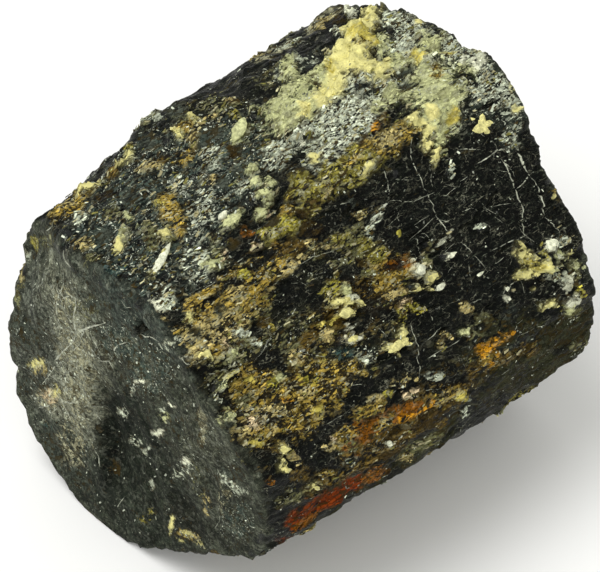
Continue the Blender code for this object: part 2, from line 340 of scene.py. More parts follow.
def granules(across, along, size, seed):
    """Random cells of about this size in mm: each one's level, -1 to 1, and its roundness.

    One point is jittered in each square of a grid, and a place belongs to the nearest point.
    Roundness is 1 at the point and falls with the square of the distance to it.
    """
    dice = np.random.default_rng(seed)
    jitter = dice.uniform(0, 1, (GRANULE_CELLS, GRANULE_CELLS, 3))
    u, v = across / size, along / size
    base_u, base_v = np.floor(u).astype(int), np.floor(v).astype(int)
    nearest = np.full(u.shape, np.inf)
    level = np.zeros(u.shape)
    for step_u, step_v in np.ndindex(3, 3):
        cell_u, cell_v = base_u + step_u - 1, base_v + step_v - 1
        spot = jitter[cell_u % GRANULE_CELLS, cell_v % GRANULE_CELLS]
        distance = (cell_u + spot[..., 0] - u) ** 2 + (cell_v + spot[..., 1] - v) ** 2
        level = np.where(distance < nearest, spot[..., 2] * 2 - 1, level)
        nearest = np.minimum(distance, nearest)
    return level, 1 - GRANULE_FALL * nearest


def clock_gap(clock, centre):
    """Signed difference of two clock angles, between -180 and 180 degrees."""
    return (clock - centre + 180) % 360 - 180


def dome(across, along=0.0):
    """Height of a smooth dome: 1 in its middle, 0 where across and along reach its edge."""
    return np.clip(1 - across ** 2 - along ** 2, 0, None) ** 2


def step(distance, width):
    """Rises smoothly from 0 to 1 as distance goes from -width/2 to width/2."""
    share = np.clip(distance / width + 0.5, 0, 1)
    return share * share * (3 - 2 * share)


def waved(value, along, waves):
    """The value plus sine waves: rows of height, rate along the direction, and phase."""
    for height, rate, phase in waves:
        value = value + height * np.sin(along * rate + phase)
    return value


def outline(clock, reach):
    """Radius of a prism whose faces lie at these distances, with its edges worn round."""
    facing = np.cos(np.radians(clock[..., None] - FACE_CLOCK))
    push = np.clip(facing, 0, None) / reach
    return (push ** EDGE_SHARPNESS).sum(-1) ** (-1 / EDGE_SHARPNESS)


def prism_radius(clock, along):
    """Radius at a share of the length, on a parabola through the near, middle and far prisms."""
    near = outline(clock, NEAR_REACH) * (2 * along - 1) * (along - 1)
    middle = outline(clock, MIDDLE_REACH) * 4 * along * (1 - along)
    far = outline(clock, FAR_REACH) * along * (2 * along - 1)
    return near + middle + far


def end_x(clock, share, end):
    """x of an end: its mean, waves that grow as share^times outwards, and chips at the rim."""
    x = np.full(clock.shape, float(end["x"]))
    for times, height, crest in end["waves"]:
        x += height * share ** times * np.cos(np.radians(times * (clock - crest)))
    for centre, half_width, depth in end["chips"]:
        chip = dome(clock_gap(clock, centre) / half_width, (1 - share) / CHIP_REACH)
        x += end["inward"] * depth * chip
    return x


def swell_height(clock, x):
    """Sum of the broad hollows and swellings of the sides, each one a dome."""
    height = np.zeros(clock.shape)
    for centre, middle, half_width, half_length, rise in SWELLS:
        height += rise * dome(clock_gap(clock, centre) / half_width, (x - middle) / half_length)
    return height


def ledge_height(clock, x):
    """Sum of the lengthwise ledges: a smooth step up at each edge and each end, ends ragged."""
    height = np.zeros(clock.shape)
    ragged = waved(0.0, clock, LEDGE_RAGGED)
    wander = waved(0.0, x, LEDGE_WANDER)
    for first, last, start, end, rise in LEDGES:
        inside = (last - first) / 2 - abs(clock_gap(clock + wander, (first + last) / 2))
        across = step(inside, LEDGE_EDGE_DEGREES)
        along = step(x - start + ragged, LEDGE_END_LENGTH) * step(
            end - x + ragged, LEDGE_END_LENGTH
        )
        height += rise * across * along
    return height


def feldspar_blocks():
    """Blocks of the crust: rows of arc length, x, height, slope round the clock, slope along."""
    dice = random.Random(GRAIN_SEED)
    blocks = []
    for _ in range(GRAIN_COUNT):
        arc = dice.uniform(*CRUST_ARCS)
        x = dice.uniform(*CRUST_XS)
        if all(math.hypot(arc - b[0], x - b[1]) > GRAIN_SPACING for b in blocks):
            height = dice.uniform(-GRAIN_STEP, GRAIN_STEP)
            slopes = [dice.uniform(-GRAIN_SLOPE, GRAIN_SLOPE) for _ in range(2)]
            blocks.append((arc, x, height, *slopes))
    return np.array(blocks)


BLOCKS = feldspar_blocks()


def arc_mm(clock):
    """Distance round the side from the top, in mm at the mean radius."""
    return np.radians(clock_gap(clock, 0)) * MEAN_RADIUS


def block_height(clock, x):
    """Height of the flat, tilted face of the nearest block of the crust."""
    across = arc_mm(clock)[..., None] - BLOCKS[:, 0]
    along = x[..., None] - BLOCKS[:, 1]
    faces = BLOCKS[:, 2] + across * BLOCKS[:, 3] + along * BLOCKS[:, 4]
    nearest = (across ** 2 + along ** 2).argmin(-1)
    return np.take_along_axis(faces, nearest[..., None], -1)[..., 0]


def crust_height(clock, x):
    """Thickness of the feldspar crust: its thickest patch, broken into blocks and granules."""
    cover = np.zeros(clock.shape)
    thickness = np.zeros(clock.shape)
    for centre, middle, half_width, half_length, thick in CRUST_PATCHES:
        patch = dome(clock_gap(clock, centre) / half_width, (x - middle) / half_length)
        share = step(patch - CRUST_EDGE_LEVEL, CRUST_EDGE_WIDTH)
        cover = np.maximum(cover, share)
        thickness = np.maximum(thickness, thick * share)
    return thickness * CRUST_BASE + cover * block_height(clock, x)


# What covers the crystal: its colour as light is measured, how lumpy it is, how many white
# specks lie on it, as mica flakes and painted glints, and the colour of the bare stone between its grains
MINERALS = {
    "cream": ((0.72, 0.67, 0.27), 1.0, 0.0, (0.15, 0.14, 0.05)),
    "yellow": ((0.62, 0.53, 0.11), 0.9, 0.0, (0.10, 0.08, 0.015)),
    "pale_green": ((0.53, 0.55, 0.27), 0.87, 0.15, (0.06, 0.07, 0.03)),
    "grey_white": ((0.60, 0.65, 0.49), 0.6, 0.6, (0.020, 0.027, 0.020)),
    "white": ((0.80, 0.82, 0.61), 0.9, 0.1, (0.06, 0.065, 0.05)),
    "pink": ((0.70, 0.56, 0.33), 0.5, 0.1, (0.03, 0.022, 0.012)),
    "yellow_olive": ((0.40, 0.36, 0.05), 0.6, 0.05, (0.025, 0.022, 0.005)),
    "olive": ((0.29, 0.26, 0.05), 0.4, 0.1, (0.020, 0.018, 0.006)),
    "ochre": ((0.42, 0.30, 0.055), 0.4, 0.1, (0.022, 0.016, 0.005)),
    "tan": ((0.52, 0.43, 0.17), 0.4, 0.1, (0.022, 0.018, 0.008)),
    "pale_tan": ((0.36, 0.35, 0.22), 0.1, 0.3, (0.065, 0.068, 0.050)),
    "orange": ((0.70, 0.33, 0.015), 0.3, 0.0, (0.06, 0.02, 0.003)),
    "rust": ((0.23, 0.085, 0.006), 0.25, 0.0, (0.018, 0.008, 0.002)),
    "rust_red": ((0.20, 0.034, 0.003), 0.1, 0.0, (0.05, 0.010, 0.002)),
    "brown": ((0.14, 0.092, 0.018), 0.25, 0.05, (0.010, 0.007, 0.002)),
    "umber": ((0.044, 0.029, 0.008), 0.1, 0.0, (0.007, 0.005, 0.002)),
    "slate": ((0.062, 0.072, 0.055), 0.0, 0.05, (0.010, 0.013, 0.011)),
    "teal": ((0.036, 0.070, 0.062), 0.2, 0.4, (0.005, 0.012, 0.011)),
    "blue_grey": ((0.052, 0.072, 0.058), 0.25, 0.8, (0.005, 0.008, 0.007)),
    "moss": ((0.17, 0.17, 0.075), 0.3, 0.25, (0.009, 0.010, 0.005)),
    "dull_green": ((0.036, 0.038, 0.018), 0.0, 0.05, (0.009, 0.010, 0.005)),
    "bare": ((0.05, 0.05, 0.035), 0.0, 0.0, (0.0014, 0.0024, 0.0014)),
}
# Where they lie on the sides, for each mineral: x, clock, half length and half width in mm, turn
# of the long side from +X towards the front in degrees, and percent of the surface covered
COVERED = {
    "moss": (
        (-15.1, 49, 17, 8.8, -3, 40), (4.9, -36, 9.5, 3, -4, 42), (-5.4, 33, 7.4, 2.2, -2, 55),
        (-3.2, 95.7, 3.2, 1.5, 16, 75), (-22.6, -4.5, 2.8, 0.9, -55, 70), (-26.3, 85, 2.4, 1, 25, 50),
        (-2.2, 35.8, 1.8, 1.1, 25, 75), (-21.9, -23.8, 1.7, 1.1, -79, 60),
        (-30.1, -12, 1.6, 1.1, 83, 60), (-22.5, -6.7, 2.6, 0.7, -53, 80),
        (23.9, 84.7, 1.8, 0.9, 41, 60), (-5.8, -50.7, 2, 0.8, -74, 70), (25.3, 98.2, 2.1, 0.6, 28, 70),
        (26.5, 67.4, 1.4, 0.9, 17, 50), (-26.5, 54.3, 1.5, 0.8, 5, 90), (6.5, 49.4, 1.6, 0.6, -56, 85),
        (-2.6, 53, 1.5, 0.5, 29, 75), (-0.1, 30.9, 1.4, 0.6, 23, 80), (-2.4, 43.1, 0.9, 0.8, 0, 70),
        (-17, 10.5, 1.3, 0.5, -36, 80), (25.3, 75.6, 0.9, 0.8, 0, 85), (-31, 67.6, 1.3, 0.5, 30, 50),
        (-16.6, 80.6, 1.6, 0.3, 23, 80), (7.3, 74.1, 1.2, 0.4, 24, 70), (8, 46.1, 0.7, 0.6, -63, 80),
        (10.3, 73.1, 1.2, 0.3, 73, 80), (5, 79.1, 1.3, 0.3, 30, 70), (9.1, 71.3, 0.9, 0.4, 83, 80),
    ),
    "brown": (
        (-4.9, 49, 8.9, 4.7, -3, 36), (-8.2, 84, 14.9, 2.6, -3, 62), (14, 85.5, 2.8, 1, 23, 50),
        (6.5, 81.8, 3, 0.8, 14, 60), (-24.3, 79, 2, 1.1, 20, 75), (-11.4, 23.8, 1.6, 1.1, 16, 70),
        (-9.9, 25.3, 2.1, 0.8, 19, 70), (9.9, 83.3, 2, 0.8, 12, 75), (-16.2, 53.1, 1.4, 1, 13, 60),
        (-1.7, 89.8, 2, 0.7, 24, 85), (-14.8, -42.6, 1.2, 1.1, 0, 70), (-10.5, -32.3, 1.3, 1, -87, 60),
        (-14.1, 50.7, 1.5, 0.8, 16, 75), (-18.7, 38.4, 1.2, 0.7, 30, 75), (-9.3, 51.8, 1, 0.7, 24, 75),
        (13.1, 9.7, 1, 0.7, -42, 80),
    ),
    "ochre": (
        (-19.8, 63, 10.3, 3.7, -1, 46), (-20.3, 28, 7.5, 3, -3, 52), (-24.6, 55, 5.2, 4.2, -20, 48),
        (-22.5, -43, 4.6, 2.1, -24, 62), (-17.5, -8, 5.3, 1.6, -62, 85), (11, 15.6, 3.9, 1.6, 1, 92),
        (1.3, 46.1, 3.3, 1.7, 24, 86), (-24.5, 22.9, 2.4, 0.8, 16, 88), (-0.1, 49.7, 2.4, 0.8, 14, 80),
        (-25, 51.2, 1.9, 1, 12, 90), (5.3, 13.7, 1.6, 1.1, -10, 70), (-8.3, -25.9, 1.7, 1, -37, 70),
        (-27.2, 63.1, 1.5, 0.9, 24, 90), (-16.3, 77.3, 1.6, 0.9, 8, 70),
        (-7.1, 15.8, 1.4, 0.9, -42, 80), (-18.6, 28.8, 1.2, 1, 0, 85), (-12, 27.3, 1.5, 0.8, 12, 60),
        (-12.3, 75, 2.4, 0.5, 13, 85), (24.6, 5.5, 1.7, 0.7, -45, 85), (-27.3, 37.2, 1.1, 1, 0, 80),
        (21.6, -19.7, 1.1, 0.8, -85, 85), (-21.2, 58.8, 1.3, 0.8, 25, 85), (7.9, 80, 1.8, 0.5, 26, 85),
        (-4.5, -33.7, 1, 0.8, 52, 75), (-30.6, 27.3, 1, 0.8, 0, 88), (-11, 79.9, 1.6, 0.5, -1, 70),
        (-0.3, 84.2, 1.5, 0.4, 5, 85), (-27, 23.7, 1, 0.6, -53, 85), (1.1, 83.2, 2.2, 0.3, 18, 80),
        (13, 17.4, 0.9, 0.7, 5, 85), (-9.6, 75.3, 1.2, 0.5, 5, 85), (-20.5, 83, 1.4, 0.4, 25, 85),
    ),
    "blue_grey": (
        (-19, -15, 18, 11.2, -51, 50), (-5.4, -16, 12, 7.2, -45, 52),
    ),
    "dull_green": (
        (18.2, 91, 17.7, 5.9, 27, 75), (-2.2, 97, 9.2, 2.9, 5, 60),
    ),
    "grey_white": (
        (24.9, 8, 8.7, 4.7, -46, 60), (6.1, 3, 7.1, 4.8, -5, 86), (28.4, 26, 5.2, 4.4, 0, 32),
        (29.3, -18, 5.7, 2.9, -65, 75), (29.8, 17, 4.2, 3.9, 0, 74), (5.8, 0, 4.3, 2.4, 18, 85),
        (-13.7, -4, 5.5, 1.7, -47, 42), (16.7, -3, 3.8, 2.3, 26, 60), (-21.4, 12.1, 3.1, 2.1, -53, 42),
        (14.3, -31.9, 3.6, 1.7, -2, 36), (-3.5, -53, 3.7, 1.6, -61, 50), (8.8, 4.2, 3.3, 1.4, -47, 85),
        (13.5, 0.6, 2.6, 1.6, 32, 85), (30.9, 11, 2.9, 1.4, -72, 50), (-6.4, -20.2, 2.3, 1.4, -58, 50),
        (-0.1, -6.1, 1.8, 1.6, 0, 72), (-12.4, -18.7, 1.8, 1.2, -81, 55),
        (20.2, -50.1, 1.9, 1.1, 0, 70), (29.9, 20.1, 1.4, 1.2, 0, 80), (25.9, 33.7, 1.4, 1.2, 0, 35),
        (-28.4, 17.6, 1.8, 0.9, -45, 70), (-1.2, 1, 1.9, 0.8, -51, 70),
        (24.5, -37.7, 2.7, 0.6, -51, 80), (-8.5, 63.2, 1.3, 1.1, 0, 50), (-2.8, -1.5, 1.4, 1, 80, 60),
        (2.5, 31.6, 1.9, 0.6, -16, 70), (-25.4, -31, 1.3, 0.8, -85, 60), (-8.5, 62.6, 1.1, 1, 0, 50),
        (-8.5, 0.2, 1.1, 0.8, -64, 85), (26.4, 35, 1.1, 0.8, 19, 60), (3.1, 93.7, 1.7, 0.5, 49, 60),
        (21.9, 72.4, 1.3, 0.6, 21, 90), (25.1, 65, 1.7, 0.5, 12, 60), (-22.5, 37.4, 1.1, 0.7, 35, 75),
        (-0.8, 76.7, 1.2, 0.5, 24, 60), (-30.6, 48.8, 0.7, 0.7, 0, 80), (-21.1, 41.6, 0.9, 0.5, 32, 75),
        (16.1, 32.4, 1, 0.4, -55, 80), (14.8, 69.2, 0.9, 0.4, 4, 90), (15.8, 50.4, 0.7, 0.4, 28, 80),
        (-17.1, 83.6, 0.7, 0.4, 12, 70), (25.8, -12, 2.6, 1.9, -66, 85), (29.8, -26, 1.9, 1.2, -60, 80),
    ),
    "cream": (
        (18, -18, 13.6, 2.8, -29, 98), (12.8, -12.7, 3.2, 1.7, -55, 97),
        (18.7, -20.7, 2.7, 1.9, -48, 100), (19, -12.5, 2.5, 2, -74, 97), (25.5, -33.9, 3, 1.2, -59, 97),
        (28.3, -31.3, 2.6, 1.1, -55, 97), (-19.2, -44.3, 2, 0.9, 2, 80), (-7.5, 46.3, 2.3, 0.7, 23, 92),
        (-24.7, 5.4, 3.2, 0.5, -25, 95), (-12.7, -41.7, 1.3, 1.2, 0, 75),
        (18.5, 67.4, 1.7, 0.8, 13, 100), (15.7, 17.1, 1.3, 1, 14, 92), (-28.6, 37.1, 1.7, 0.7, 32, 85),
        (7.1, -10.5, 1.6, 0.7, -52, 95), (-4.1, 63.9, 1.9, 0.5, 5, 100), (19.1, 62.5, 1.1, 0.9, 0, 100),
        (20.6, 66.9, 1.1, 0.9, 0, 100), (-21.5, -1, 1.1, 0.8, -81, 85), (-2.7, -34.3, 1, 0.9, 0, 75),
        (18.6, 16.6, 1.4, 0.7, -46, 92), (1.1, 7.5, 1, 0.9, 0, 90), (5.5, 54.7, 1.2, 0.8, 27, 85),
        (15.4, 26.1, 1.6, 0.5, -46, 85), (18.6, 15.5, 1.1, 0.8, -40, 92),
        (-26.4, -9.2, 1.2, 0.7, -13, 90), (15.2, 21.9, 1.1, 0.7, -46, 90), (-8, 49.5, 1.2, 0.7, 16, 95),
        (15.5, 14.5, 1.2, 0.7, -43, 92), (31.3, -17, 1, 0.7, -58, 90), (-25.6, 70.6, 0.9, 0.7, 18, 88),
        (16.6, 19.4, 0.9, 0.7, 19, 95), (-2.5, 62.8, 0.8, 0.7, 0, 90), (-26.6, 73.7, 1, 0.5, -61, 85),
        (19.3, 77.1, 1.4, 0.4, 0, 95), (-26.9, 45.9, 1.3, 0.4, 13, 90), (-23, 84.7, 1.1, 0.4, -21, 75),
        (29.5, 28.3, 0.8, 0.6, 20, 85), (-27.7, 25.7, 0.7, 0.6, 44, 90), (5.8, 19.1, 0.9, 0.5, 3, 90),
        (-5.4, 49.4, 0.7, 0.5, 32, 85), (3.1, 55.4, 1, 0.3, 7, 90), (-6, -33.8, 0.6, 0.5, 0, 80),
        (25.5, 69.2, 0.6, 0.4, -44, 90), (9.7, -9.2, 1.9, 1.1, -57, 97), (12.6, -11.3, 2, 1.2, -59, 97),
        (15.4, -14, 1.7, 1, -56, 97), (19.7, -7.5, 2.2, 1.5, -63, 95),
    ),
    "pale_green": (
        (21.2, 11, 7.6, 3.7, -51, 80), (6.4, -15, 5.2, 3.7, -53, 93), (5.5, -15.7, 3.2, 1.9, -60, 90),
        (10.9, -19.5, 3.4, 1.6, -42, 72), (13, -30.2, 3.3, 1.2, -49, 80),
        (23.6, -14.4, 3.5, 1, -49, 90), (9.2, -9, 2.1, 1.2, -55, 95), (10.3, -20.5, 2.2, 1.1, -55, 85),
        (-0.8, -20.1, 1.9, 1, -14, 95), (14.1, -20, 1.9, 1, -52, 95), (-13.9, 8.8, 1.9, 0.9, -12, 92),
        (20.2, 10.2, 1.3, 1.2, 0, 92), (-8, 8.3, 1.3, 1, -52, 90), (-30.5, 55.9, 1.2, 1.1, 0, 95),
        (-24.6, -11.4, 1.9, 0.7, -35, 85), (17.9, 22.1, 1.3, 0.9, -36, 90),
        (-20, 15.9, 1.3, 0.9, -7, 90), (-6.9, 1.9, 1.1, 0.9, -72, 95), (-6.4, 43.6, 1.2, 0.8, 31, 90),
        (-25.3, 41.1, 1.1, 0.9, 0, 80), (24.2, 15.6, 1, 0.9, 0, 90), (-5.6, -2.7, 1.3, 0.7, -54, 95),
        (-9.9, 11.3, 1, 0.9, 0, 90), (13.3, 5.2, 1, 0.8, -52, 90), (-21.4, -18, 1.4, 0.6, -55, 85),
        (23.8, 68.4, 1.2, 0.6, 20, 90), (-6.3, 6.1, 0.9, 0.8, 0, 90), (21.7, 69.1, 1.2, 0.5, 21, 90),
        (22.2, 81.4, 1, 0.6, 37, 85), (25.9, 72.9, 1.1, 0.5, 19, 85), (-20.4, 54.3, 0.8, 0.7, 0, 85),
        (6.4, 72.2, 0.9, 0.6, 20, 80), (-28.7, 46.6, 0.7, 0.5, 32, 80), (17.1, 4.5, 2.1, 1.7, -68, 85),
        (13.8, 4.5, 1.6, 1.2, -60, 80), (23, -6, 2.2, 1.6, -58, 88), (28.2, -4.5, 2.8, 1.5, -71, 74),
        (27, 11.3, 2.1, 1.5, -67, 74),
    ),
    "pale_tan": (
        (15.7, -48.9, 4.7, 1.1, -39, 85), (20.2, -50.1, 2.4, 1.3, -18, 85),
        (25.5, -51.6, 2.8, 1.2, -27, 85), (29.3, -50.9, 2, 1.2, -33, 85),
    ),
    "olive": (
        (0.7, 18, 12.6, 1.8, -4, 94), (-3.4, 12.4, 2.2, 1.5, -8, 85), (2.8, 13.9, 2, 1.2, -1, 80),
        (-0.2, 36.1, 1.6, 1, 29, 75), (0.6, 41, 1.8, 0.8, 24, 75), (0.3, 14.2, 1.4, 1, 2, 85),
        (-3.7, 30, 2, 0.6, 19, 80), (5.5, 12.1, 1.5, 0.7, -25, 80), (-10.3, -46.5, 0.9, 0.7, 86, 70),
        (1.7, -27.8, 0.8, 0.7, 0, 70), (-14.8, 28.4, 1.2, 0.5, 29, 75),
        (-14.2, 56.2, 0.9, 0.6, -50, 90), (21.5, 63.5, 0.6, 0.5, 15, 80),
    ),
    "tan": (
        (-27.2, 33, 6.3, 2.7, 9, 60), (-26, 61.6, 4.4, 1.7, 6, 50), (10.7, 15.1, 2.3, 1.2, -3, 85),
        (-24.8, 32.4, 2.8, 0.9, 23, 80), (-12.3, -31.5, 1.9, 1.3, -38, 60),
        (-22.7, -44.6, 2.1, 1, -52, 70), (-28.4, -19.7, 1.6, 1.1, -88, 70),
        (26.3, -50.3, 1.8, 0.8, -8, 70), (-29.5, 31.9, 1.9, 0.8, 31, 88),
        (-5.3, -30.3, 1.4, 1.1, -59, 75), (0.4, 53.4, 2.3, 0.5, 18, 85),
        (-31.1, 22.1, 1.2, 0.9, 23, 75), (-6, 98.3, 1.4, 0.8, 24, 70), (-5.2, 73.5, 1.9, 0.6, 16, 70),
        (-11.4, 52.2, 1.1, 1, 0, 85), (-20.3, 27.3, 1.2, 0.9, 26, 85), (-17.3, 52.6, 1.2, 0.8, 33, 70),
        (-10.8, 30, 3.3, 0.2, 3, 90), (-12.4, 30.3, 1.4, 0.6, 1, 85), (-22.3, 31, 1.1, 0.7, 38, 75),
        (-23.2, 62.2, 0.9, 0.8, 0, 85), (16.1, -51.6, 2.2, 0.3, -9, 80), (-10.3, 73.4, 1.2, 0.6, 4, 85),
        (-18.6, 62, 1.2, 0.6, 19, 85), (3.5, 69.7, 1.2, 0.5, 22, 80), (-18.7, 78.3, 1.9, 0.3, 16, 80),
        (1.4, 27.6, 1.2, 0.5, 2, 75), (-9.9, -9.9, 1.1, 0.5, -56, 80), (-5.2, 31, 2.4, 0.2, 18, 90),
        (-24.4, 74, 1, 0.6, 28, 80), (-1.4, -31.4, 1.7, 0.3, -1, 85), (8.1, 67, 1, 0.5, 32, 75),
        (-7.4, 27.1, 0.8, 0.6, 23, 70), (-1.2, 18.5, 1.2, 0.3, -2, 85), (2.4, 71.7, 0.7, 0.5, -17, 70),
        (3.6, -33.3, 0.8, 0.5, 41, 80), (-0.9, 42.5, 0.7, 0.5, -14, 85),
    ),
    "umber": (
        (-10.3, 25.4, 2.9, 1.2, 23, 60), (-19.3, -35.3, 1.6, 1.5, 0, 60), (-4, 85.7, 3.1, 0.8, 6, 90),
        (-10.4, 90.3, 2.1, 1, 33, 90), (-3.7, -15.5, 2.1, 1, -70, 70), (-5.9, 23.7, 1.4, 1.1, 0, 60),
        (28.1, -45.9, 1.4, 1, -49, 70), (-3.6, 18.2, 1.5, 0.9, 29, 70),
        (-10.5, 84.6, 2.8, 0.4, -10, 85), (-5.9, 18.6, 1.1, 0.7, 27, 70),
        (7.7, 12.4, 1.2, 0.5, -26, 80), (-18.7, 55.5, 1, 0.6, 19, 85), (-15.9, 15.5, 0.8, 0.7, 0, 85),
        (-2, 39.5, 0.6, 0.5, -19, 80),
    ),
    "slate": (
        (-1.6, -45.8, 3.3, 1.2, -61, 85), (13.6, 83.2, 3.6, 0.9, 12, 30),
        (-18.5, -26, 2.1, 1.4, -67, 85), (19.1, -33.8, 2.1, 1, -12, 50), (-9.1, -39.7, 1.9, 1, -79, 80),
        (-25.6, -19.3, 1.5, 1.1, -86, 90), (22.1, -1.2, 1.4, 1.1, 74, 80),
        (-6.4, -7.8, 1.6, 0.9, -60, 85), (15.9, -3.8, 1.8, 0.8, 27, 60), (-9.3, -5.5, 1.4, 1, -72, 80),
        (-2.8, -26.6, 1.5, 0.9, 25, 90), (19.6, 3.5, 1.3, 0.8, -78, 80), (13.6, 73.6, 1.3, 0.7, -3, 40),
        (-23.3, 28.4, 1, 0.8, 20, 90), (-28.2, 29.7, 0.9, 0.6, 45, 90), (-9.7, 15.8, 0.9, 0.6, 30, 90),
        (-4.9, -26.1, 1.1, 0.5, 36, 85), (2.6, 53.6, 0.8, 0.5, 33, 30), (-16.4, 31.5, 0.7, 0.5, 24, 85),
        (1.5, 23.8, 0.7, 0.5, 24, 80), (-31.5, 9.9, 1.2, 0.2, -87, 85),
    ),
    "yellow": (
        (23.6, -23.5, 3, 1.5, -56, 97), (25.4, -4.1, 1.7, 1, -53, 90), (28.6, 2.4, 1.2, 0.9, -52, 90),
        (-28.8, 64.6, 1.5, 0.6, 20, 95), (21.1, 20, 1, 0.8, -35, 95), (19.4, 65.7, 1.1, 0.6, 29, 97),
        (-17.2, -14, 1.2, 0.5, -79, 80), (2, 85.8, 1.5, 0.4, 25, 85), (-10.5, 48.9, 1.5, 0.3, 13, 90),
        (16.1, -19.9, 1, 0.4, -52, 90), (-18.6, 66.7, 1, 0.4, 26, 90), (-24.5, 50.8, 0.9, 0.5, 29, 95),
        (-18.4, 41.4, 0.6, 0.5, 0, 80),
    ),
    "teal": (
        (-29.4, -2.8, 2.1, 1.3, 73, 70), (-11, 59, 1.8, 1.1, 25, 45),
    ),
    "white": (
        (29.9, 10.8, 1.5, 1.3, 0, 90), (28.8, -41.5, 1.7, 0.7, -58, 90), (23.6, 74.3, 1.1, 0.9, 10, 90),
        (23.3, 80.1, 1.4, 0.7, 20, 85), (23.2, 63.9, 1.3, 0.7, 13, 100),
        (-30.5, 17.7, 1.1, 0.8, -48, 85), (4.3, 50.6, 1.2, 0.7, 6, 92), (-31.4, 33.4, 0.7, 0.7, 0, 85),
        (-8.9, 56.4, 1, 0.5, 19, 92), (-13.9, 5, 0.9, 0.5, -17, 90), (9.6, 48.1, 1.2, 0.3, 4, 95),
        (-5.8, 46.7, 0.7, 0.5, 27, 95), (6, 58.2, 0.9, 0.4, 3, 90), (22.8, 76.2, 0.6, 0.5, 0, 90),
        (14.1, 68.8, 0.6, 0.4, -55, 95), (9.3, 51.8, 0.7, 0.3, -2, 90), (2.8, -1.2, 0.9, 0.3, -49, 90),
        (-25.9, 43.6, 0.5, 0.4, 0, 90), (-10.4, 85.9, 0.5, 0.3, 39, 100),
    ),
    "rust": (
        (-13.7, 78.5, 3.4, 1.4, 11, 92), (-12.2, 97, 2.4, 1.4, 32, 95), (-7.3, 79.9, 3, 1, 14, 95),
        (-23.2, 99.5, 2.1, 1.1, 12, 95), (2.4, 46, 2.1, 1, 23, 60), (-14, 14.1, 0.8, 0.7, 0, 85),
        (-29.2, 75.1, 0.7, 0.6, 0, 95),
    ),
    "pink": (
        (-27.2, 60.4, 1.2, 0.7, 13, 90), (-4.9, 76.9, 1.3, 0.4, 13, 60), (0.8, 56.3, 1.3, 0.3, 19, 80),
        (-25, 37.8, 0.7, 0.5, 29, 80), (-13.9, 19.1, 0.7, 0.5, 0, 85), (-9.4, 13.4, 0.5, 0.5, 0, 85),
        (-18, 16, 0.7, 0.3, -9, 80), (-17.9, 77.2, 0.6, 0.4, 29, 80),
    ),
    "bare": (
        (11.3, 36, 9.2, 6.4, 10, 3), (17.8, 44, 7.5, 6.8, 0, 3), (11.8, 63, 6.6, 4.3, 23, 5),
        (5.1, 67, 4, 2.9, 32, 10), (13.2, -44, 5.4, 2, -28, 17), (3.9, 34, 3.3, 3, 0, 6),
        (24.6, 32, 4.3, 1.9, 67, 18), (26.9, -22, 5.2, 1.5, -38, 30), (6.5, -37, 3.3, 2.4, -7, 20),
        (5.6, 101.3, 3.8, 1.7, 49, 15), (-2.6, 23.5, 3.6, 1.6, -7, 24), (-29.9, 83, 3, 1.6, 53, 20),
        (24.1, -48.2, 3.7, 1.2, -5, 17), (0.1, 23.6, 2.6, 1.7, -9, 22),
        (-13.7, 35.7, 2.3, 1.8, -16, 14), (2.3, 79.9, 3.1, 1.1, 13, 17),
        (-20.5, 49.2, 2.4, 1.4, 26, 14), (-6.8, 53.4, 1.8, 1.6, 0, 22), (-10.9, 40.6, 1.8, 1.6, 0, 20),
        (-3.5, 68.5, 3.5, 0.8, 25, 18), (29.1, 37.4, 3, 0.9, -87, 17), (-14.9, 35.8, 1.7, 1.5, 0, 15),
        (16.4, 71.4, 2.8, 0.8, 20, 3), (19.6, 80.1, 2.4, 0.9, 25, 2), (-9.2, 32.6, 2.5, 0.8, 19, 15),
        (-4.5, 39.4, 1.9, 1.1, 32, 20), (-11.8, 67.8, 2.3, 0.8, 11, 22), (0.8, 62, 1.5, 1.2, 12, 10),
        (-7.5, 37.6, 1.8, 1, 28, 16), (-17.1, 24.1, 4.3, 0.4, 1, 16), (-2.9, 57.3, 2.1, 0.8, 29, 8),
        (18.4, 26.6, 1.4, 1.2, 0, 17), (-17.6, 85, 2.7, 0.5, 5, 24), (-13.2, 70.9, 2.9, 0.5, 1, 18),
        (-20.8, 79.4, 2.9, 0.5, 6, 18), (-21.8, 24.6, 3.1, 0.4, -1, 17), (-0.9, 5.4, 1.8, 0.7, -48, 16),
        (1.7, 1.8, 2.8, 0.4, -48, 22), (26.8, 12.9, 1.4, 0.8, 81, 17), (12.2, 23.1, 1.3, 0.6, -44, 5),
        (-20.4, 38.5, 1.1, 0.7, -57, 16), (25.9, 22.7, 2, 0.4, 9, 17), (-4.5, 2.7, 1.1, 0.7, 58, 18),
        (-4.5, 33.5, 1.6, 0.5, 21, 15), (-24.5, 68.6, 1.4, 0.5, 33, 14), (-31.1, 51.8, 0.8, 0.8, 0, 14),
        (21.2, 74.6, 0.9, 0.7, 17, 2), (9.4, 76.4, 1.7, 0.3, 4, 16), (-29, 52.3, 0.9, 0.5, 32, 14),
        (-17.8, 74.4, 1.2, 0.4, 14, 22), (23.8, 18.9, 1, 0.4, -45, 17), (14.2, 18.8, 0.7, 0.4, -46, 17),
    ),
    "orange": (
        (7.7, 78, 1.1, 0.7, 7, 95), (-3.1, 83.3, 2.3, 0.3, 11, 95), (9.3, 78.6, 1.3, 0.5, 8, 95),
        (10.7, 10.3, 1.2, 0.5, -3, 90), (11.8, 78.1, 0.8, 0.5, 14, 97), (-6.5, 81.9, 1.5, 0.3, 7, 90),
        (-21.5, 60.9, 0.8, 0.4, 26, 85),
    ),
    "yellow_olive": (
        (-8.3, 41.3, 1.2, 1.2, 0, 85), (-11, 18.1, 1.7, 0.8, 20, 92), (-8.4, 19.1, 1.3, 0.9, -5, 85),
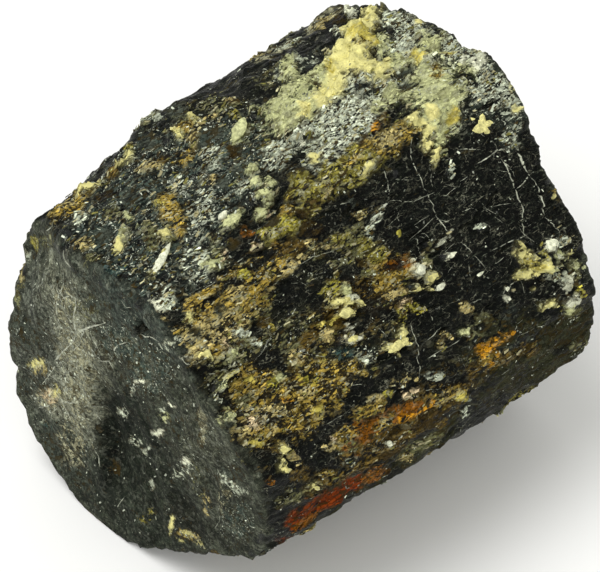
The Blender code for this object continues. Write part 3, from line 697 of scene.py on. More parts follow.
        (-1.2, 60, 1.6, 0.6, -55, 90), (-22, 55.8, 1.2, 0.6, -23, 85), (-17.5, 59.5, 1, 0.7, 23, 85),
        (1.1, 58.9, 1.5, 0.5, 29, 85), (25.1, 80, 0.9, 0.6, 36, 85), (-18.1, 24.5, 1, 0.5, 13, 85),
        (-7.8, 74.5, 0.9, 0.4, 25, 85),
    ),
    "rust_red": (
        (-20.3, 95.3, 3.5, 2, 21, 97), (-15.8, 94.7, 2.5, 1.5, 33, 95), (-25.2, 95.6, 2.2, 1.4, 46, 95),
        (-26.3, 103.6, 2.6, 0.7, 46, 60),
    ),
}
# The back and underside, which the photograph doesn't show, carry the same minerals at random
# in two layers: how many, their minerals, half lengths, half widths and shares from and to
HIDDEN_X = (-31, 30)
HIDDEN_CLOCK = (108, 300)
HIDDEN_TURN = (-25, 25)
HIDDEN_SEED = 11
HIDDEN_LAYERS = (
    (34, "moss brown blue_grey blue_grey ochre dull_green", (6, 14), (3, 7), (0.34, 0.56)),
    (190, "ochre olive brown umber moss grey_white pale_green tan slate rust", (0.8, 4.2), (0.5, 1.8),
     (0.45, 0.85)),
)
# Noise that pushes the patches' edges about: size and push in mm, and seeds for each direction
PATCH_WANDER = ((3.1, 0.5, 21, 31), (1.1, 0.4, 22, 32), (0.45, 0.4, 23, 33))
# How ragged a patch's outline is, how wide its edge, and where and how widely its share fades
PATCH_RAGGED = 0.4
RAGGED_NOISE = ((1.3, 1, 23), (0.6, 0.6, 24))
PATCH_EDGE = 0.5
FADE_REACH = 1.15
FADE_RAGGED = 0.5
FADE_WIDTH = 0.9
# Past this many times its longer half size a patch has no effect
PATCH_MARGIN = 2.4


def hidden_patches():
    """Rows for patches at random places on the back and the underside, the broad ones first."""
    dice = random.Random(HIDDEN_SEED)
    rows = []
    for count, minerals, lengths, widths, shares in HIDDEN_LAYERS:
        for _ in range(count):
            x, clock = dice.uniform(*HIDDEN_X), dice.uniform(*HIDDEN_CLOCK)
            sizes = dice.uniform(*lengths), dice.uniform(*widths), dice.uniform(*HIDDEN_TURN)
            arc = arc_mm(np.float64(clock))
            rows.append((dice.choice(minerals.split()), x, arc, *sizes, dice.uniform(*shares)))
    return rows


def table_rows(table):
    """Rows of mineral, two places, half length, half width, turn and share, largest first."""
    rows = []
    for mineral, patches in table.items():
        for u, v, half_length, half_width, turn, percent in patches:
            rows.append((mineral, u, v, half_length, half_width, turn, percent / 100))
    return sorted(rows, key=lambda row: -row[3] * row[4])


def side_rows():
    """The hidden patches, then those of the table with each clock angle as an arc length."""
    rows = hidden_patches()
    for mineral, x, clock, *sizes in table_rows(COVERED):
        rows.append((mineral, x, arc_mm(np.float64(clock)), *sizes))
    return rows


SIDE_ROWS_IN_MM = side_rows()


def wandered(u, v, wander):
    """The same places, each pushed about by noise of several sizes."""
    flat = np.stack((u, v, 0 * u), -1)
    for size, push, seed_u, seed_v in wander:
        u = u + push * lattice_noise(flat, size, seed_u)
        v = v + push * lattice_noise(flat, size, seed_v)
    return u, v


def laid_over(layers, row, near, inside, faded):
    """Lays one mineral over the layers below it, inside its patch; its share fades past it."""
    tint, graininess, speckling, between = MINERALS[row[0]]
    for name, value in (("mineral", tint), ("ground", between)):
        layers[name][near] += (np.array(value) - layers[name][near]) * inside[..., None]
    for name, value in (("grain", graininess), ("speck", speckling)):
        layers[name][near] += (value - layers[name][near]) * inside
    layers["share"][near] += (row[-1] - layers["share"][near]) * faded


def patch_reach(u, v, turn, half_length, half_width):
    """Distance from a patch's middle in units of its own half sizes: 1 on its outline."""
    c, s = math.cos(math.radians(turn)), math.sin(math.radians(turn))
    return np.hypot((u * c + v * s) / half_length, (v * c - u * s) / half_width)


def bare_layers(shape, ground, share):
    """The layers of a surface that nothing lies on yet."""
    return {
        "mineral": np.zeros(shape + (3,)) + MINERALS["bare"][0],
        "ground": np.zeros(shape + (3,)) + ground,
        "share": np.full(shape, share),
        "grain": np.zeros(shape),
        "speck": np.zeros(shape),
    }


# Noise that breaks the cover into islands: size in mm, height, and how stretched along x it is
ISLANDS = ((3.0, 0.22, 0.45), (1.3, 0.22, 0.45), (0.6, 0.24, 0.6))
# Where a neighbour's mineral is mixed in: how far away it is taken from, how often, how sharp
# the edges are, and the noises that choose the places and the way there
MIXING_REACH = 4.0
MIXING_SIDEWAYS = 0.7
MIXING_LEVEL = 0.42
MIXING_EDGE = 0.2
MIXING_STRETCH = (0.6, 1, 1)
MIXING_STREAKS = ((1.5, 1, 81),)
MIXING_SPOTS = ((0.6, 0.6, 82),)
MIXING_WAY = 2.3
# The share of the surface that is covered where there is no patch
BARE_SHARE = 0.05


def islands(u, v, seed, sizes=ISLANDS):
    """The level that the share must pass for a place to be covered: noise about a half."""
    level = np.full(u.shape, 0.5)
    for size, height, stretch in sizes:
        flat = np.stack((u * stretch, v, 0 * u), -1)
        level += height * lattice_noise(flat, size, seed)
    return level


def layered_patches(clock_arc, x, rows, layers, wander=PATCH_WANDER):
    """Lays a list of patches over the layers, each an ellipse with its edge pushed about."""
    x_wandered, arc_wandered = wandered(x, clock_arc, wander)
    flat = np.stack((x, clock_arc, 0 * x), -1)
    ragged = PATCH_RAGGED * noise_sum(flat, RAGGED_NOISE)
    for row in rows:
        _, middle, centre, half_length, half_width, turn, _ = row
        u, v = x_wandered - middle, arc_wandered - centre
        near = np.nonzero(np.hypot(u, v) < PATCH_MARGIN * max(half_length, half_width))
        distance = patch_reach(u[near], v[near], turn, half_length, half_width)
        inside = step(1.0 + ragged[near] - distance, PATCH_EDGE)
        faded = step(FADE_REACH + FADE_RAGGED * ragged[near] - distance, FADE_WIDTH)
        laid_over(layers, row, near, inside, faded)


def covering(clock, x):
    """What lies on the side at each place: colours, share of the surface, grain and specks.

    Here and there the colours are those of a place up to MIXING_REACH away, so that the
    minerals of neighbouring patches are mixed. Cover is the share less the islands' level.
    """
    arc = arc_mm(clock)
    flat = np.stack((x, arc, 0 * x), -1)
    spots = noise_sum(flat * MIXING_STRETCH, MIXING_STREAKS) + noise_sum(flat, MIXING_SPOTS)
    mixed = step(spots - MIXING_LEVEL, MIXING_EDGE)
    away_x = MIXING_REACH * lattice_noise(flat, MIXING_WAY, 83)
    away_arc = MIXING_SIDEWAYS * MIXING_REACH * lattice_noise(flat, MIXING_WAY, 84)
    own = bare_layers(clock.shape, MINERALS["bare"][3], BARE_SHARE)
    layered_patches(arc, x, SIDE_ROWS_IN_MM, own)
    other = bare_layers(clock.shape, MINERALS["bare"][3], BARE_SHARE)
    layered_patches(arc + away_arc, x + away_x, SIDE_ROWS_IN_MM, other)
    layers = {}
    for name, values in own.items():
        weight = mixed[..., None] if values.ndim > mixed.ndim else mixed
        layers[name] = values + (other[name] - values) * weight
    layers["cover"] = layers["share"] - islands(x, arc, 85)
    return layers


# Marks on the near end, in the same form, but with y and z from the axis for x and clock, and
# the turn from +Y towards +Z
END_MARKS = {
    "slate": (
        (16.9, 1, 4.8, 2.4, -46, 75), (13.2, -18.6, 3.4, 2, -48, 75), (17.9, -10.1, 5.5, 1.2, -44, 70),
        (7.2, -20.6, 3.1, 2, -44, 60), (-12.5, 6.5, 3.2, 1.5, -70, 60), (-22.4, 5.2, 3.8, 1.1, -51, 80),
        (2.8, 17.4, 2.7, 0.8, -37, 80),
    ),
    "pale_tan": (
        (8.1, -13, 6.2, 2.8, -74, 55), (6.9, -3, 5.9, 2.6, -58, 50), (7.6, 5, 5.4, 2.8, -48, 55),
        (8.6, 12, 4.9, 2.8, -84, 50), (14, -9.7, 4, 1.7, -50, 40), (-20.9, -1.2, 3, 1, -76, 45),
        (-17.3, 10.6, 3.5, 0.9, -90, 60),
    ),
    "moss": (
        (5.1, 14.8, 4.9, 1.4, -48, 35), (-15.6, -1.8, 3, 1.6, -72, 35), (16.7, 16.6, 4.5, 0.8, -46, 60),
        (21.1, 3.3, 1.7, 0.6, 78, 70), (21.3, 6.6, 1.5, 0.7, 64, 70),
    ),
    "olive": (
        (-6.2, -17.4, 1.8, 1.1, -53, 45), (20.4, 13.1, 1.3, 1.1, 0, 80),
    ),
    "tan": (
        (-17.2, -5.6, 2.7, 0.9, -87, 55), (15, -4.8, 3.1, 0.6, -47, 75), (-17, -7, 1, 0.4, -82, 80),
        (16.6, 19.9, 1.1, 0.2, -28, 75),
    ),
    "grey_white": (
        (-10.9, 20.9, 2.5, 0.7, -50, 43), (-0.1, -2, 2.3, 0.7, -53, 66), (-12.2, -3.7, 3, 0.5, -55, 51),
        (-22, 2.6, 1.7, 0.9, 37, 55), (-23.9, 2.9, 2.3, 0.6, -49, 58), (-5.2, -5, 2.8, 0.5, -55, 66),
        (-2.7, -5.7, 1.8, 0.7, -54, 66), (-14.3, -0.7, 1.2, 0.6, -69, 58), (-3.9, 6, 1.2, 0.5, -56, 55),
        (21.3, -10.6, 1.3, 0.4, -60, 62), (-6, -11.8, 0.9, 0.5, -85, 66),
        (-9.8, 7.3, 0.9, 0.4, -49, 66), (21.6, 9.8, 0.8, 0.5, -60, 55),
        (15.6, -15.6, 1.2, 0.3, -48, 55),
    ),
    "cream": (
        (16, -4.3, 2.7, 0.7, -49, 85), (12, -7.1, 2.1, 0.7, -74, 80), (-10.8, -15, 2.5, 0.5, -74, 85),
        (-15.9, -14.9, 1.2, 0.5, -25, 80), (-13.3, -14.6, 1, 0.4, -42, 85),
        (-12.5, -16.7, 0.7, 0.4, -12, 80),
    ),
    "pink": (
        (14, -8.8, 1.8, 0.8, -42, 80), (12.7, -8.9, 1.4, 0.6, -43, 80),
    ),
    "teal": (
        (14.2, -15.3, 2.2, 0.6, -48, 50),
    ),
    "bare": (
        (-2.1, -8, 9.7, 4, -72, 6), (-9.3, -9, 4.8, 1.8, -54, 5), (4.5, -5.3, 9, 0.7, -81, 4),
        (3, -12.7, 4.1, 0.7, -81, 4), (-1.4, 18.2, 2.5, 0.9, -60, 5),
    ),
    "umber": (
        (1.1, -14.5, 1.3, 1.1, 89, 50),
    ),
    "white": (
        (-8.6, 1.9, 1.8, 0.5, -52, 74), (-11.3, 9.4, 1.4, 0.5, -35, 70),
        (-13.8, 0.3, 1.3, 0.5, -65, 74), (-5.5, 9.5, 1.1, 0.3, -43, 70),
    ),
    "pale_green": (
        (-9.9, 6.4, 1.5, 0.8, -71, 39),
    ),
    "ochre": (
        (-14, -14.4, 2.4, 0.8, -34, 85),
    ),
    "blue_grey": (
        (-7.4, 13, 7, 2.8, -56, 78), (-1.7, 14, 5.1, 3, -42, 80), (-22.9, -4, 5.3, 2.3, -62, 55),
    ),
}
# Tones of the near end's stone: y and z from the axis, half length, half width, turn, colour.
# Two are painted shade: a dark band at the foot of the scoop's wall, and a dark spot in the pit
END_TONES = (
    (0, 18, 14, 7, -20, (0.054, 0.068, 0.054)),
    (9, 1, 9, 18, 4, (0.170, 0.176, 0.122)),
    (10, -4, 6, 13, 4, (0.37, 0.38, 0.27)),
    (17, 0, 6, 12, 0, (0.095, 0.105, 0.080)),
    (11, -17, 8, 6, -30, (0.060, 0.070, 0.050)),
    (-3, -6, 8, 13, 8, (0.010, 0.014, 0.009)),
    (-9, -9, 7, 8, 0, (0.021, 0.026, 0.017)),
    (-12, 9, 7, 7, -30, (0.050, 0.057, 0.039)),
    (-2, -20, 13, 6, 0, (0.026, 0.032, 0.022)),
    (-18, 5, 5, 9, 10, (0.085, 0.092, 0.062)),
    (-21, -3, 5, 9, 0, (0.044, 0.049, 0.034)),
    # painted shade: a dark band along the foot of the scoop's steep wall
    (1.5, -8, 1.6, 12, 6, (0.010, 0.013, 0.009)),
    (-14, -12, 4, 4, 0, (0.016, 0.018, 0.012)),
    # painted shade: the inside of the pit painted near black
    (-6.3, 20, 1, 1.3, 0, (0.003, 0.003, 0.002)),
)
END_GROUND = (0.054, 0.061, 0.042)
END_SHARE = 0.12
TONE_WANDER = 1.2
TONE_WANDER_SIZE = 3.5
TONE_EDGE = 0.8
TONE_RAGGED = ((2.4, 0.35, 33), (1.3, 0.12, 34))
# Its mottling: size in mm, how strong, and seed
TONE_MOTTLE = ((2.6, 0.45, 37), (1.3, 0.4, 38))
# The ends are drawn by fewer points than the side, so their cover has no finer noise than this
END_ISLANDS = ISLANDS[:2]
END_WANDER = PATCH_WANDER[:2]


def end_covering(y, z):
    """What lies on the near end at each place, in the same layers as the side's."""
    flat = np.stack((y, z, 0 * y), -1)
    y_wandered = y + TONE_WANDER * lattice_noise(flat, TONE_WANDER_SIZE, 31)
    z_wandered = z + TONE_WANDER * lattice_noise(flat, TONE_WANDER_SIZE, 32)
    ragged = noise_sum(flat, TONE_RAGGED)
    layers = bare_layers(y.shape, END_GROUND, END_SHARE)
    tones = layers["ground"].copy()
    for middle, centre, half_length, half_width, turn, tone in END_TONES:
        distance = patch_reach(
            y_wandered - middle, z_wandered - centre, turn, half_length, half_width
        )
        tones += (np.array(tone) - tones) * step(1.0 + ragged - distance, TONE_EDGE)[..., None]
    for size, strength, seed in TONE_MOTTLE:
        tones *= np.exp(strength * lattice_noise(flat, size, seed))[..., None]
    layered_patches(z, y, table_rows(END_MARKS), layers, END_WANDER)
    layers["ground"] = tones
    layers["cover"] = layers["share"] - islands(y, z, 86, END_ISLANDS)
    return layers


# The far end, which the photograph doesn't show either: dull stone with patches at random, and
# the crust reaching a little over its upper edge
FAR_PATCHES = 60
FAR_SEED = 12
FAR_REACH_MM = 25
FAR_LENGTHS = (1, 6)
FAR_WIDTHS = (0.7, 2.5)
FAR_TURNS = (-90, 90)
FAR_SHARES = (0.3, 0.75)
FAR_BARE_SHARE = 0.16
FAR_MOTTLE = ((7.0, 0.9, 35), (2.6, 0.5, 36))
FAR_DARKENING = 0.2
FAR_MINERALS = "moss blue_grey brown ochre umber grey_white slate dull_green".split()
CRUST_MINERALS = "pale_green grey_white cream grey_white".split()
CRUST_EDGE_Z = 17


def far_patches():
    """Rows for patches at random places on the far end."""
    dice = random.Random(FAR_SEED)
    rows = []
    for _ in range(FAR_PATCHES):
        y, z = dice.uniform(-FAR_REACH_MM, FAR_REACH_MM), dice.uniform(-FAR_REACH_MM, FAR_REACH_MM)
        sizes = dice.uniform(*FAR_LENGTHS), dice.uniform(*FAR_WIDTHS), dice.uniform(*FAR_TURNS)
        mineral = dice.choice(CRUST_MINERALS if z > CRUST_EDGE_Z else FAR_MINERALS)
        rows.append((mineral, y, z, *sizes, dice.uniform(*FAR_SHARES)))
    return rows


def far_covering(y, z):
    """What lies on the far end at each place, in the same layers as the side's."""
    flat = np.stack((y, z, 0 * y), -1)
    layers = bare_layers(y.shape, END_GROUND, FAR_BARE_SHARE)
    layered_patches(z, y, far_patches(), layers, END_WANDER)
    tone = noise_sum(flat, FAR_MOTTLE) - FAR_DARKENING
    layers["ground"] = np.array(END_GROUND) * np.exp(tone)[..., None]
    layers["cover"] = layers["share"] - islands(y, z, 87, END_ISLANDS)
    return layers


def on_axis(clock, radius, x):
    """Points in mm at these clock angles, radii and x, before anything is laid on the ground."""
    angle = np.radians(clock)
    return np.stack(
        (x, AXIS_Y - radius * np.sin(angle), AXIS_HEIGHT + radius * np.cos(angle)), -1
    )


def side_relief(clock, x, points):
    """Small relief of the side: what covers it is raised and lumpy, the bare stone splintered.

    The splinters are flat steps, lengthwise, whose edges are where noise crosses zero.
    """
    layers = covering(clock, x)
    grain, covered = layers["grain"], step(layers["cover"], COVER_EDGE)
    arc = arc_mm(clock)
    stretched = points * GROOVE_STRETCH
    grooves = noise_sum(stretched, GROOVES)
    splinters = 0.0
    for size, height, seed in SPLINTERS:
        steps = lattice_noise(stretched * SPLINTER_SHORTENING, size, seed)
        splinters = splinters + height * step(steps, SPLINTER_EDGE)
    for size, height, seed in PLATES:
        splinters = splinters + height * granules(arc, x * PLATE_STRETCH, size, seed)[0]
    lumps = 0.0
    for size, rise, tilt, seed in LUMPS:
        level, round_top = granules(arc + tilt * x, x - tilt * arc, size, seed)
        lumps = lumps + rise * (round_top + LUMP_UNEVENNESS * level)
    from_edge = np.minimum(x - end_x(clock, 1.0, NEAR_END), end_x(clock, 1.0, FAR_END) - x)
    lumps = lumps * (EDGE_LUMPS + (1 - EDGE_LUMPS) * step(from_edge, EDGE_FADE))
    broad, fine = noise_sum(points, BROAD_RELIEF), noise_sum(points, FINE_RELIEF)
    thickness = covered * (COVER_THICKNESS + grain * (CRUST_THICKNESS + lumps)) - RELIEF_MEAN
    bared = 1 - COVER_SMOOTHING * grain * covered
    return (grooves + splinters) * bared + thickness + broad + fine


def side_radius(clock, x):
    """Radius of the finished side at a clock angle and an x."""
    near = end_x(clock, 1.0, NEAR_END)
    along = (x - near) / (end_x(clock, 1.0, FAR_END) - near)
    smooth = prism_radius(clock, along) + swell_height(clock, x) + ledge_height(clock, x)
    raised = smooth + crust_height(clock, x)
    return raised + side_relief(clock, x, on_axis(clock, smooth, x))


def laid_down(points):
    """Lays what is underneath on the rest face, as in the solid, and centres the whole.

    Inside the rest face z is 0. Beyond it the stone rises at least REST_RISE for each mm past
    the nearest side, and each side is bowed inwards as a parabola.
    """
    x, y, z = np.moveaxis(points, -1, 0)
    beyond = np.full(x.shape, -np.inf)
    for start, end in zip(REST_CORNERS, np.roll(REST_CORNERS, -1, axis=0)):
        run, rise = end - start
        length = math.hypot(run, rise)
        across = ((x - start[0]) * rise - (y - start[1]) * run) / length
        share = ((x - start[0]) * run + (y - start[1]) * rise) / length ** 2
        bow = 4 * REST_BOW * np.clip(share * (1 - share), 0, None)
        beyond = np.maximum(beyond, across + bow)
    laid = np.where(beyond > 0, np.maximum(z, REST_RISE * beyond), 0)
    points = points.copy()
    points[..., 2] = np.where(z < REST_REACH, laid, z)
    return points + CENTRING


def inside_box(points, margin=0.0):
    """Points in metres, eased to stay within the solid's box less a margin.

    Nearer than EASE_START to a side of the box, the distance to it shrinks exponentially. The
    ground isn't eased: what would be under it is laid on it.
    """
    low, high = (np.array(corner) / MM for corner in cad_box)
    low[2] -= 1
    for side, sign in ((high, 1), (low, -1)):
        room = (side - points) * sign - margin
        eased = EASE_START * np.exp(np.minimum(room, EASE_START) / EASE_START - 1)
        room = np.where(room < EASE_START, eased, room)
        points = side - (room + margin) * sign
    return np.clip(points, (-np.inf, -np.inf, 0), None) * MM


def from_rim(share):
    """0 on the rim of an end, and soon 1 inside it."""
    return np.minimum(1, (1 - share) * RIM_RISE)


def near_relief(y, z, share):
    """How far the near end is sunk: a scoop with one steep wall, a pit, curved ribs, scratches."""
    wall_y = SCOOP_WALL_Y - WALL_BEND * np.clip(WALL_BEND_Z - z, 0, None) ** 2
    behind = waved(wall_y - y, z, WALL_WAVES)
    scoop = SCOOP_DEPTH * dome(behind / SCOOP_RADII[0], (z - SCOOP_MIDDLE_Z) / SCOOP_RADII[1])
    scoop *= step(behind, SCOOP_WALL_WIDTH)
    pit = PIT_DEPTH * dome((y - PIT_CENTRE[0]) / PIT_RADIUS, (z - PIT_CENTRE[1]) / PIT_RADIUS)
    reach = np.hypot(y - RIB_CENTRE[0], z - RIB_CENTRE[1])
    ribs = RIB_HEIGHT * np.sin(2 * math.pi * reach / RIB_SPACING)
    turn = np.arctan2(z - RIB_CENTRE[1], y - RIB_CENTRE[0])
    scratches = noise_sum(np.stack((reach, turn * SCRATCH_LENGTH, 0 * y), -1), SCRATCHES)
    return (scoop + ribs + scratches) * step(1 - share, RELIEF_EDGE) + pit * from_rim(share)


def far_relief(y, z, share):
    """How far the far end is sunk by its terraces."""
    drop = np.zeros(y.shape)
    ragged = sum(high * np.sin(y * rate_y + z * rate_z) for high, rate_y, rate_z in TERRACE_WAVES)
    for clock, distance, height in TERRACES:
        angle = math.radians(clock)
        downhill = -y * math.sin(angle) + z * math.cos(angle) + ragged
        drop += height * step(downhill - distance, TERRACE_RISER)
    return drop * step(1 - share, RELIEF_EDGE)


def rounded_rows(clock, end, width, steps):
    """Rows round the edge between an end and the side: quarter circles of this width."""
    rows = []
    for angle in np.linspace(0, math.pi / 2, steps):
        x = end_x(clock, 1.0, end) + end["inward"] * width * (1 - math.cos(angle))
        radius = side_radius(clock, x) - width * (1 - math.sin(angle))
        rows.append(on_axis(clock, radius, x))
    return rows


def end_surface(y, z, share, end, relief):
    """Points of an end at y and z from the axis, at this share of the way out to the rim."""
    clock = np.degrees(np.arctan2(-y, z))
    points = np.stack((end_x(clock, share, end), AXIS_Y + y, AXIS_HEIGHT + z), -1)
    plates = step(noise_sum(points * END_PLATE_STRETCH, END_PLATES), END_PLATE_EDGE)
    rough = noise_sum(points, END_ROUGHNESS) + END_PLATE_HEIGHT * plates
    points[..., 0] += end["inward"] * (relief(y, z, share) + rough * from_rim(share))
    return points


def end_rings(rim, end, relief, rings):
    """Rings from just inside the rim to just off the middle: each the rim, shrunk evenly."""
    shares = np.linspace(1, 0, rings + 1)[1:-1, None]
    y = (rim[:, 1] - AXIS_Y) * shares
    z = (rim[:, 2] - AXIS_HEIGHT) * shares
    return list(end_surface(y, z, shares + 0 * y, end, relief))


def bevel_width(clock):
    """How far the near end's edge is rounded off."""
    return RIM_ROUND + BEVEL_EXTRA * dome(clock_gap(clock, BEVEL_CLOCK) / BEVEL_HALF_WIDTH)


def end_share(rings, rim, own_rings):
    """1 on the end whose own rings come first, 0 on the side, and uneven where they meet."""
    past_rim = np.abs(rings[:, :, 0] - rim[:, 0])
    past_rim[:own_rings] = -np.linalg.norm(rings[:own_rings, :, 1:] - rim[:, 1:], axis=-1)
    return 1 - step(past_rim - END_SPREAD + noise_sum(rings, END_RAGGED), END_BLEND)


def crystal_body():
    """The whole surface as rings of points, from the near end's middle to the far end's."""
    first, last = FINE_CLOCK
    fine = np.linspace(first, last, FINE_COLUMNS, endpoint=False)
    coarse = np.linspace(last, first + 360, COARSE_COLUMNS, endpoint=False)
    clock = np.concatenate((fine, coarse))
    near_edge = rounded_rows(clock, NEAR_END, bevel_width(clock), NEAR_ROUND_STEPS)
    far_edge = rounded_rows(clock, FAR_END, np.full(clock.shape, RIM_ROUND), FAR_ROUND_STEPS)
    shares = np.linspace(0, 1, SIDE_ROWS + 2)[1:-1, None]
    start, stop = near_edge[-1][:, 0], far_edge[-1][:, 0]
    x = start + (stop - start) * shares
    round_clock = clock + 0 * x
    side = on_axis(round_clock, side_radius(round_clock, x), x)
    near_rings = end_rings(near_edge[0], NEAR_END, near_relief, NEAR_RINGS)
    far_rings = end_rings(far_edge[0], FAR_END, far_relief, FAR_RINGS)
    rings = near_rings[::-1] + near_edge + list(side) + far_edge[::-1] + far_rings
    rings = laid_down(np.array(rings))
    rows, columns = rings.shape[:2]
    poles = np.array((rings[0].mean(0), rings[-1].mean(0)))
    points = np.concatenate((rings.reshape(-1, 3), poles))
    index = np.arange(rows * columns).reshape(rows, columns)
    along = np.roll(index, -1, axis=1)
    quads = np.stack((index[:-1], index[1:], along[1:], along[:-1]), -1).reshape(-1, 4)
    near_fan = np.stack((np.full(columns, rows * columns), index[0], along[0]), -1)
    far_fan = np.stack((np.full(columns, rows * columns + 1), along[-1], index[-1]), -1)
    mesh = bpy.data.meshes.new("crystal_body")
    faces = quads.tolist() + near_fan.tolist() + far_fan.tolist()
    mesh.from_pydata(inside_box(points, BODY_MARGIN).tolist(), [], faces)
    mesh.polygons.foreach_set("use_smooth", np.ones(len(mesh.polygons), bool))
    near_share = end_share(rings, near_edge[0], len(near_rings))
    far_share = end_share(rings[::-1], far_edge[0], len(far_rings))[::-1]
    return mesh, points - CENTRING, np.append(near_share, (1, 0)), np.append(far_share, (0, 1))


def coloured(mesh, name, colours):
    """Writes a colour for each point onto the mesh."""
    rgba = np.concatenate((colours, np.ones((len(colours), 1))), -1)
    mesh.attributes.new(name, "FLOAT_COLOR", "POINT").data.foreach_set("color", rgba.ravel())


def painted(mesh, points, near_share, far_share):
    """Writes the layers that cover each point onto the mesh, and how far it is on the end."""
    x = points[:, 0]
    y, z = points[:, 1] - AXIS_Y, points[:, 2] - AXIS_HEIGHT
    side = covering(np.degrees(np.arctan2(-y, z)), x)
    near, far = end_covering(y, z), far_covering(y, z)
    for name in ("mineral", "ground"):
        colour = side[name] + (near[name] - side[name]) * near_share[:, None]
        colour += (far[name] - side[name]) * far_share[:, None]
        coloured(mesh, name, colour)
    for name in ("cover", "grain", "speck"):
        values = side[name] + (near[name] - side[name]) * near_share
        values += (far[name] - side[name]) * far_share
        mesh.attributes.new(name, "FLOAT", "POINT").data.foreach_set("value", values)
    mesh.attributes.new("dull", "FLOAT", "POINT").data.foreach_set("value", near_share + far_share)


class Tone:
    """A number or colour inside a material. Sums and products of numbers add Math nodes."""

    def __init__(self, tree, output=None):
        self.tree = tree
        self.output = output

    def node(self, kind, settings, inputs, output=0):
        """Adds a node: its settings first, then a number, colour or link for each socket."""
        made = self.tree.nodes.new(kind)
        for name, value in settings.items():
            setattr(made, name, value)
        feed(made, inputs)
        return Tone(self.tree, made.outputs[output])

    def maths(self, operation, *values):
        return self.node("ShaderNodeMath", {"operation": operation}, dict(enumerate(values)))

    def __add__(self, other):
        return self.maths("ADD", self, other)

    def __radd__(self, other):
        return self.maths("ADD", other, self)

    def __sub__(self, other):
        return self.maths("SUBTRACT", self, other)

    def __rsub__(self, other):
        return self.maths("SUBTRACT", other, self)

    def __mul__(self, other):
        return self.maths("MULTIPLY", self, other)

    def __rmul__(self, other):
        return self.maths("MULTIPLY", other, self)

    def rise(self, low, high):
        """0 below low, 1 above high, and a smooth rise between them."""
        settings = {"interpolation_type": "SMOOTHSTEP"}
        return self.node(
            "ShaderNodeMapRange", settings, {"Value": self, "From Min": low, "From Max": high}
        )

    def tint(self, below, above, blend="MIX"):
        """The colour below where this number is 0, and the colour above where it is 1."""
        settings = {"data_type": "RGBA", "blend_type": blend, "clamp_factor": True}
        return self.node("ShaderNodeMix", settings, {0: self, 6: below, 7: above}, 2)


def feed(node, inputs):
    """Gives each named socket of a node a constant or a link."""
    for name, value in inputs.items():
        if isinstance(value, Tone):
            value.tree.links.new(value.output, node.inputs[name])
        else:
            node.inputs[name].default_value = value


def material_tree(name):
    """A new material, its Principled shader, and a Tone to start from."""
    material = bpy.data.materials.new(name)
    material.use_nodes = True
    tree = material.node_tree
    return material, tree.nodes["Principled BSDF"], Tone(tree)


def noise(tone, vector, size, detail, rough):
    """Fractal noise about 0.5, with its largest lumps of this size in mm."""
    inputs = {"Vector": vector, "Scale": 1 / (size * MM), "Detail": detail, "Roughness": rough}
    return tone.node("ShaderNodeTexNoise", {"noise_dimensions": "3D"}, inputs)


def cells(tone, vector, size, feature="F1", output="Color"):
    """Random cells of this size in mm: a random colour in each, or the distance to its edge."""
    settings = {"voronoi_dimensions": "3D", "feature": feature}
    inputs = {"Vector": vector, "Scale": 1 / (size * MM)}
    return tone.node("ShaderNodeTexVoronoi", settings, inputs, output)


def channels(tone, colour):
    """The three channels of a colour as numbers."""
    split = tone.node("ShaderNodeSeparateColor", {}, {"Color": colour})
    return [Tone(tone.tree, split.output.node.outputs[n]) for n in range(3)]


def attribute(tone, name, output="Fac"):
    """A value that the mesh carries at each point."""
    return tone.node("ShaderNodeAttribute", {"attribute_name": name}, {}, output)


def lightened(tone, colour, lightness):
    """The colour times a number."""
    value = tone.node(
        "ShaderNodeCombineColor", {}, {"Red": lightness, "Green": lightness, "Blue": lightness}
    )
    settings = {"data_type": "RGBA", "blend_type": "MULTIPLY"}
    return tone.node("ShaderNodeMix", settings, {0: 1.0, 6: colour, 7: value}, 2)


def warped(tone, vector, size, push):
    """The vector pushed about by noise, so that straight patterns in it waver."""
    away = noise(tone, vector, size, 3.0, 0.6).output.node.outputs["Color"]
    centred = tone.node(
        "ShaderNodeVectorMath", {"operation": "SUBTRACT"}, {0: Tone(tone.tree, away), 1: (0.5,) * 3}
    )
    scaled = tone.node(
        "ShaderNodeVectorMath", {"operation": "SCALE"}, {0: centred, "Scale": push * MM}
    )
    return tone.node("ShaderNodeVectorMath", {"operation": "ADD"}, {0: vector, 1: scaled})


def threads(tone, vector, size, width):
    """Fine lines along the edges of warped cells of this size in mm."""
    wavering = warped(tone, vector, size * 0.8, size * 1.6)
    return 1 - cells(tone, wavering, size, "DISTANCE_TO_EDGE", "Distance").rise(0.0, width)


# The body's finish. Its noises: coordinates, size in mm, detail, roughness, and the levels between
# which each rises from 0 to 1
FINISH_COORDINATES = (("lengthwise", (0.5, 1.0, 1.0)), ("streaky", (0.25, 1.0, 1.0)))
FINISH_NOISES = {
    "crumbs": ("lengthwise", 0.7, 6.0, 0.78, 0.34, 0.66),
    "lumps": ("place", 1.5, 6.0, 0.76, 0.30, 0.70),
    "fine": ("place", 0.34, 3.0, 0.75, 0.28, 0.72),
    "stain": ("lengthwise", 1.6, 6.0, 0.78, 0.53, 0.62),
    "bleach": ("place", 0.9, 5.0, 0.78, 0.56, 0.68),
    "mottle": ("place", 1.3, 8.0, 0.78, 0.34, 0.68),
    "sheen_streaks": ("streaky", 0.4, 5.0, 0.8, 0.56, 0.74),
    "clusters": ("place", 1.7, 5.0, 0.75, 0.38, 0.66),
}
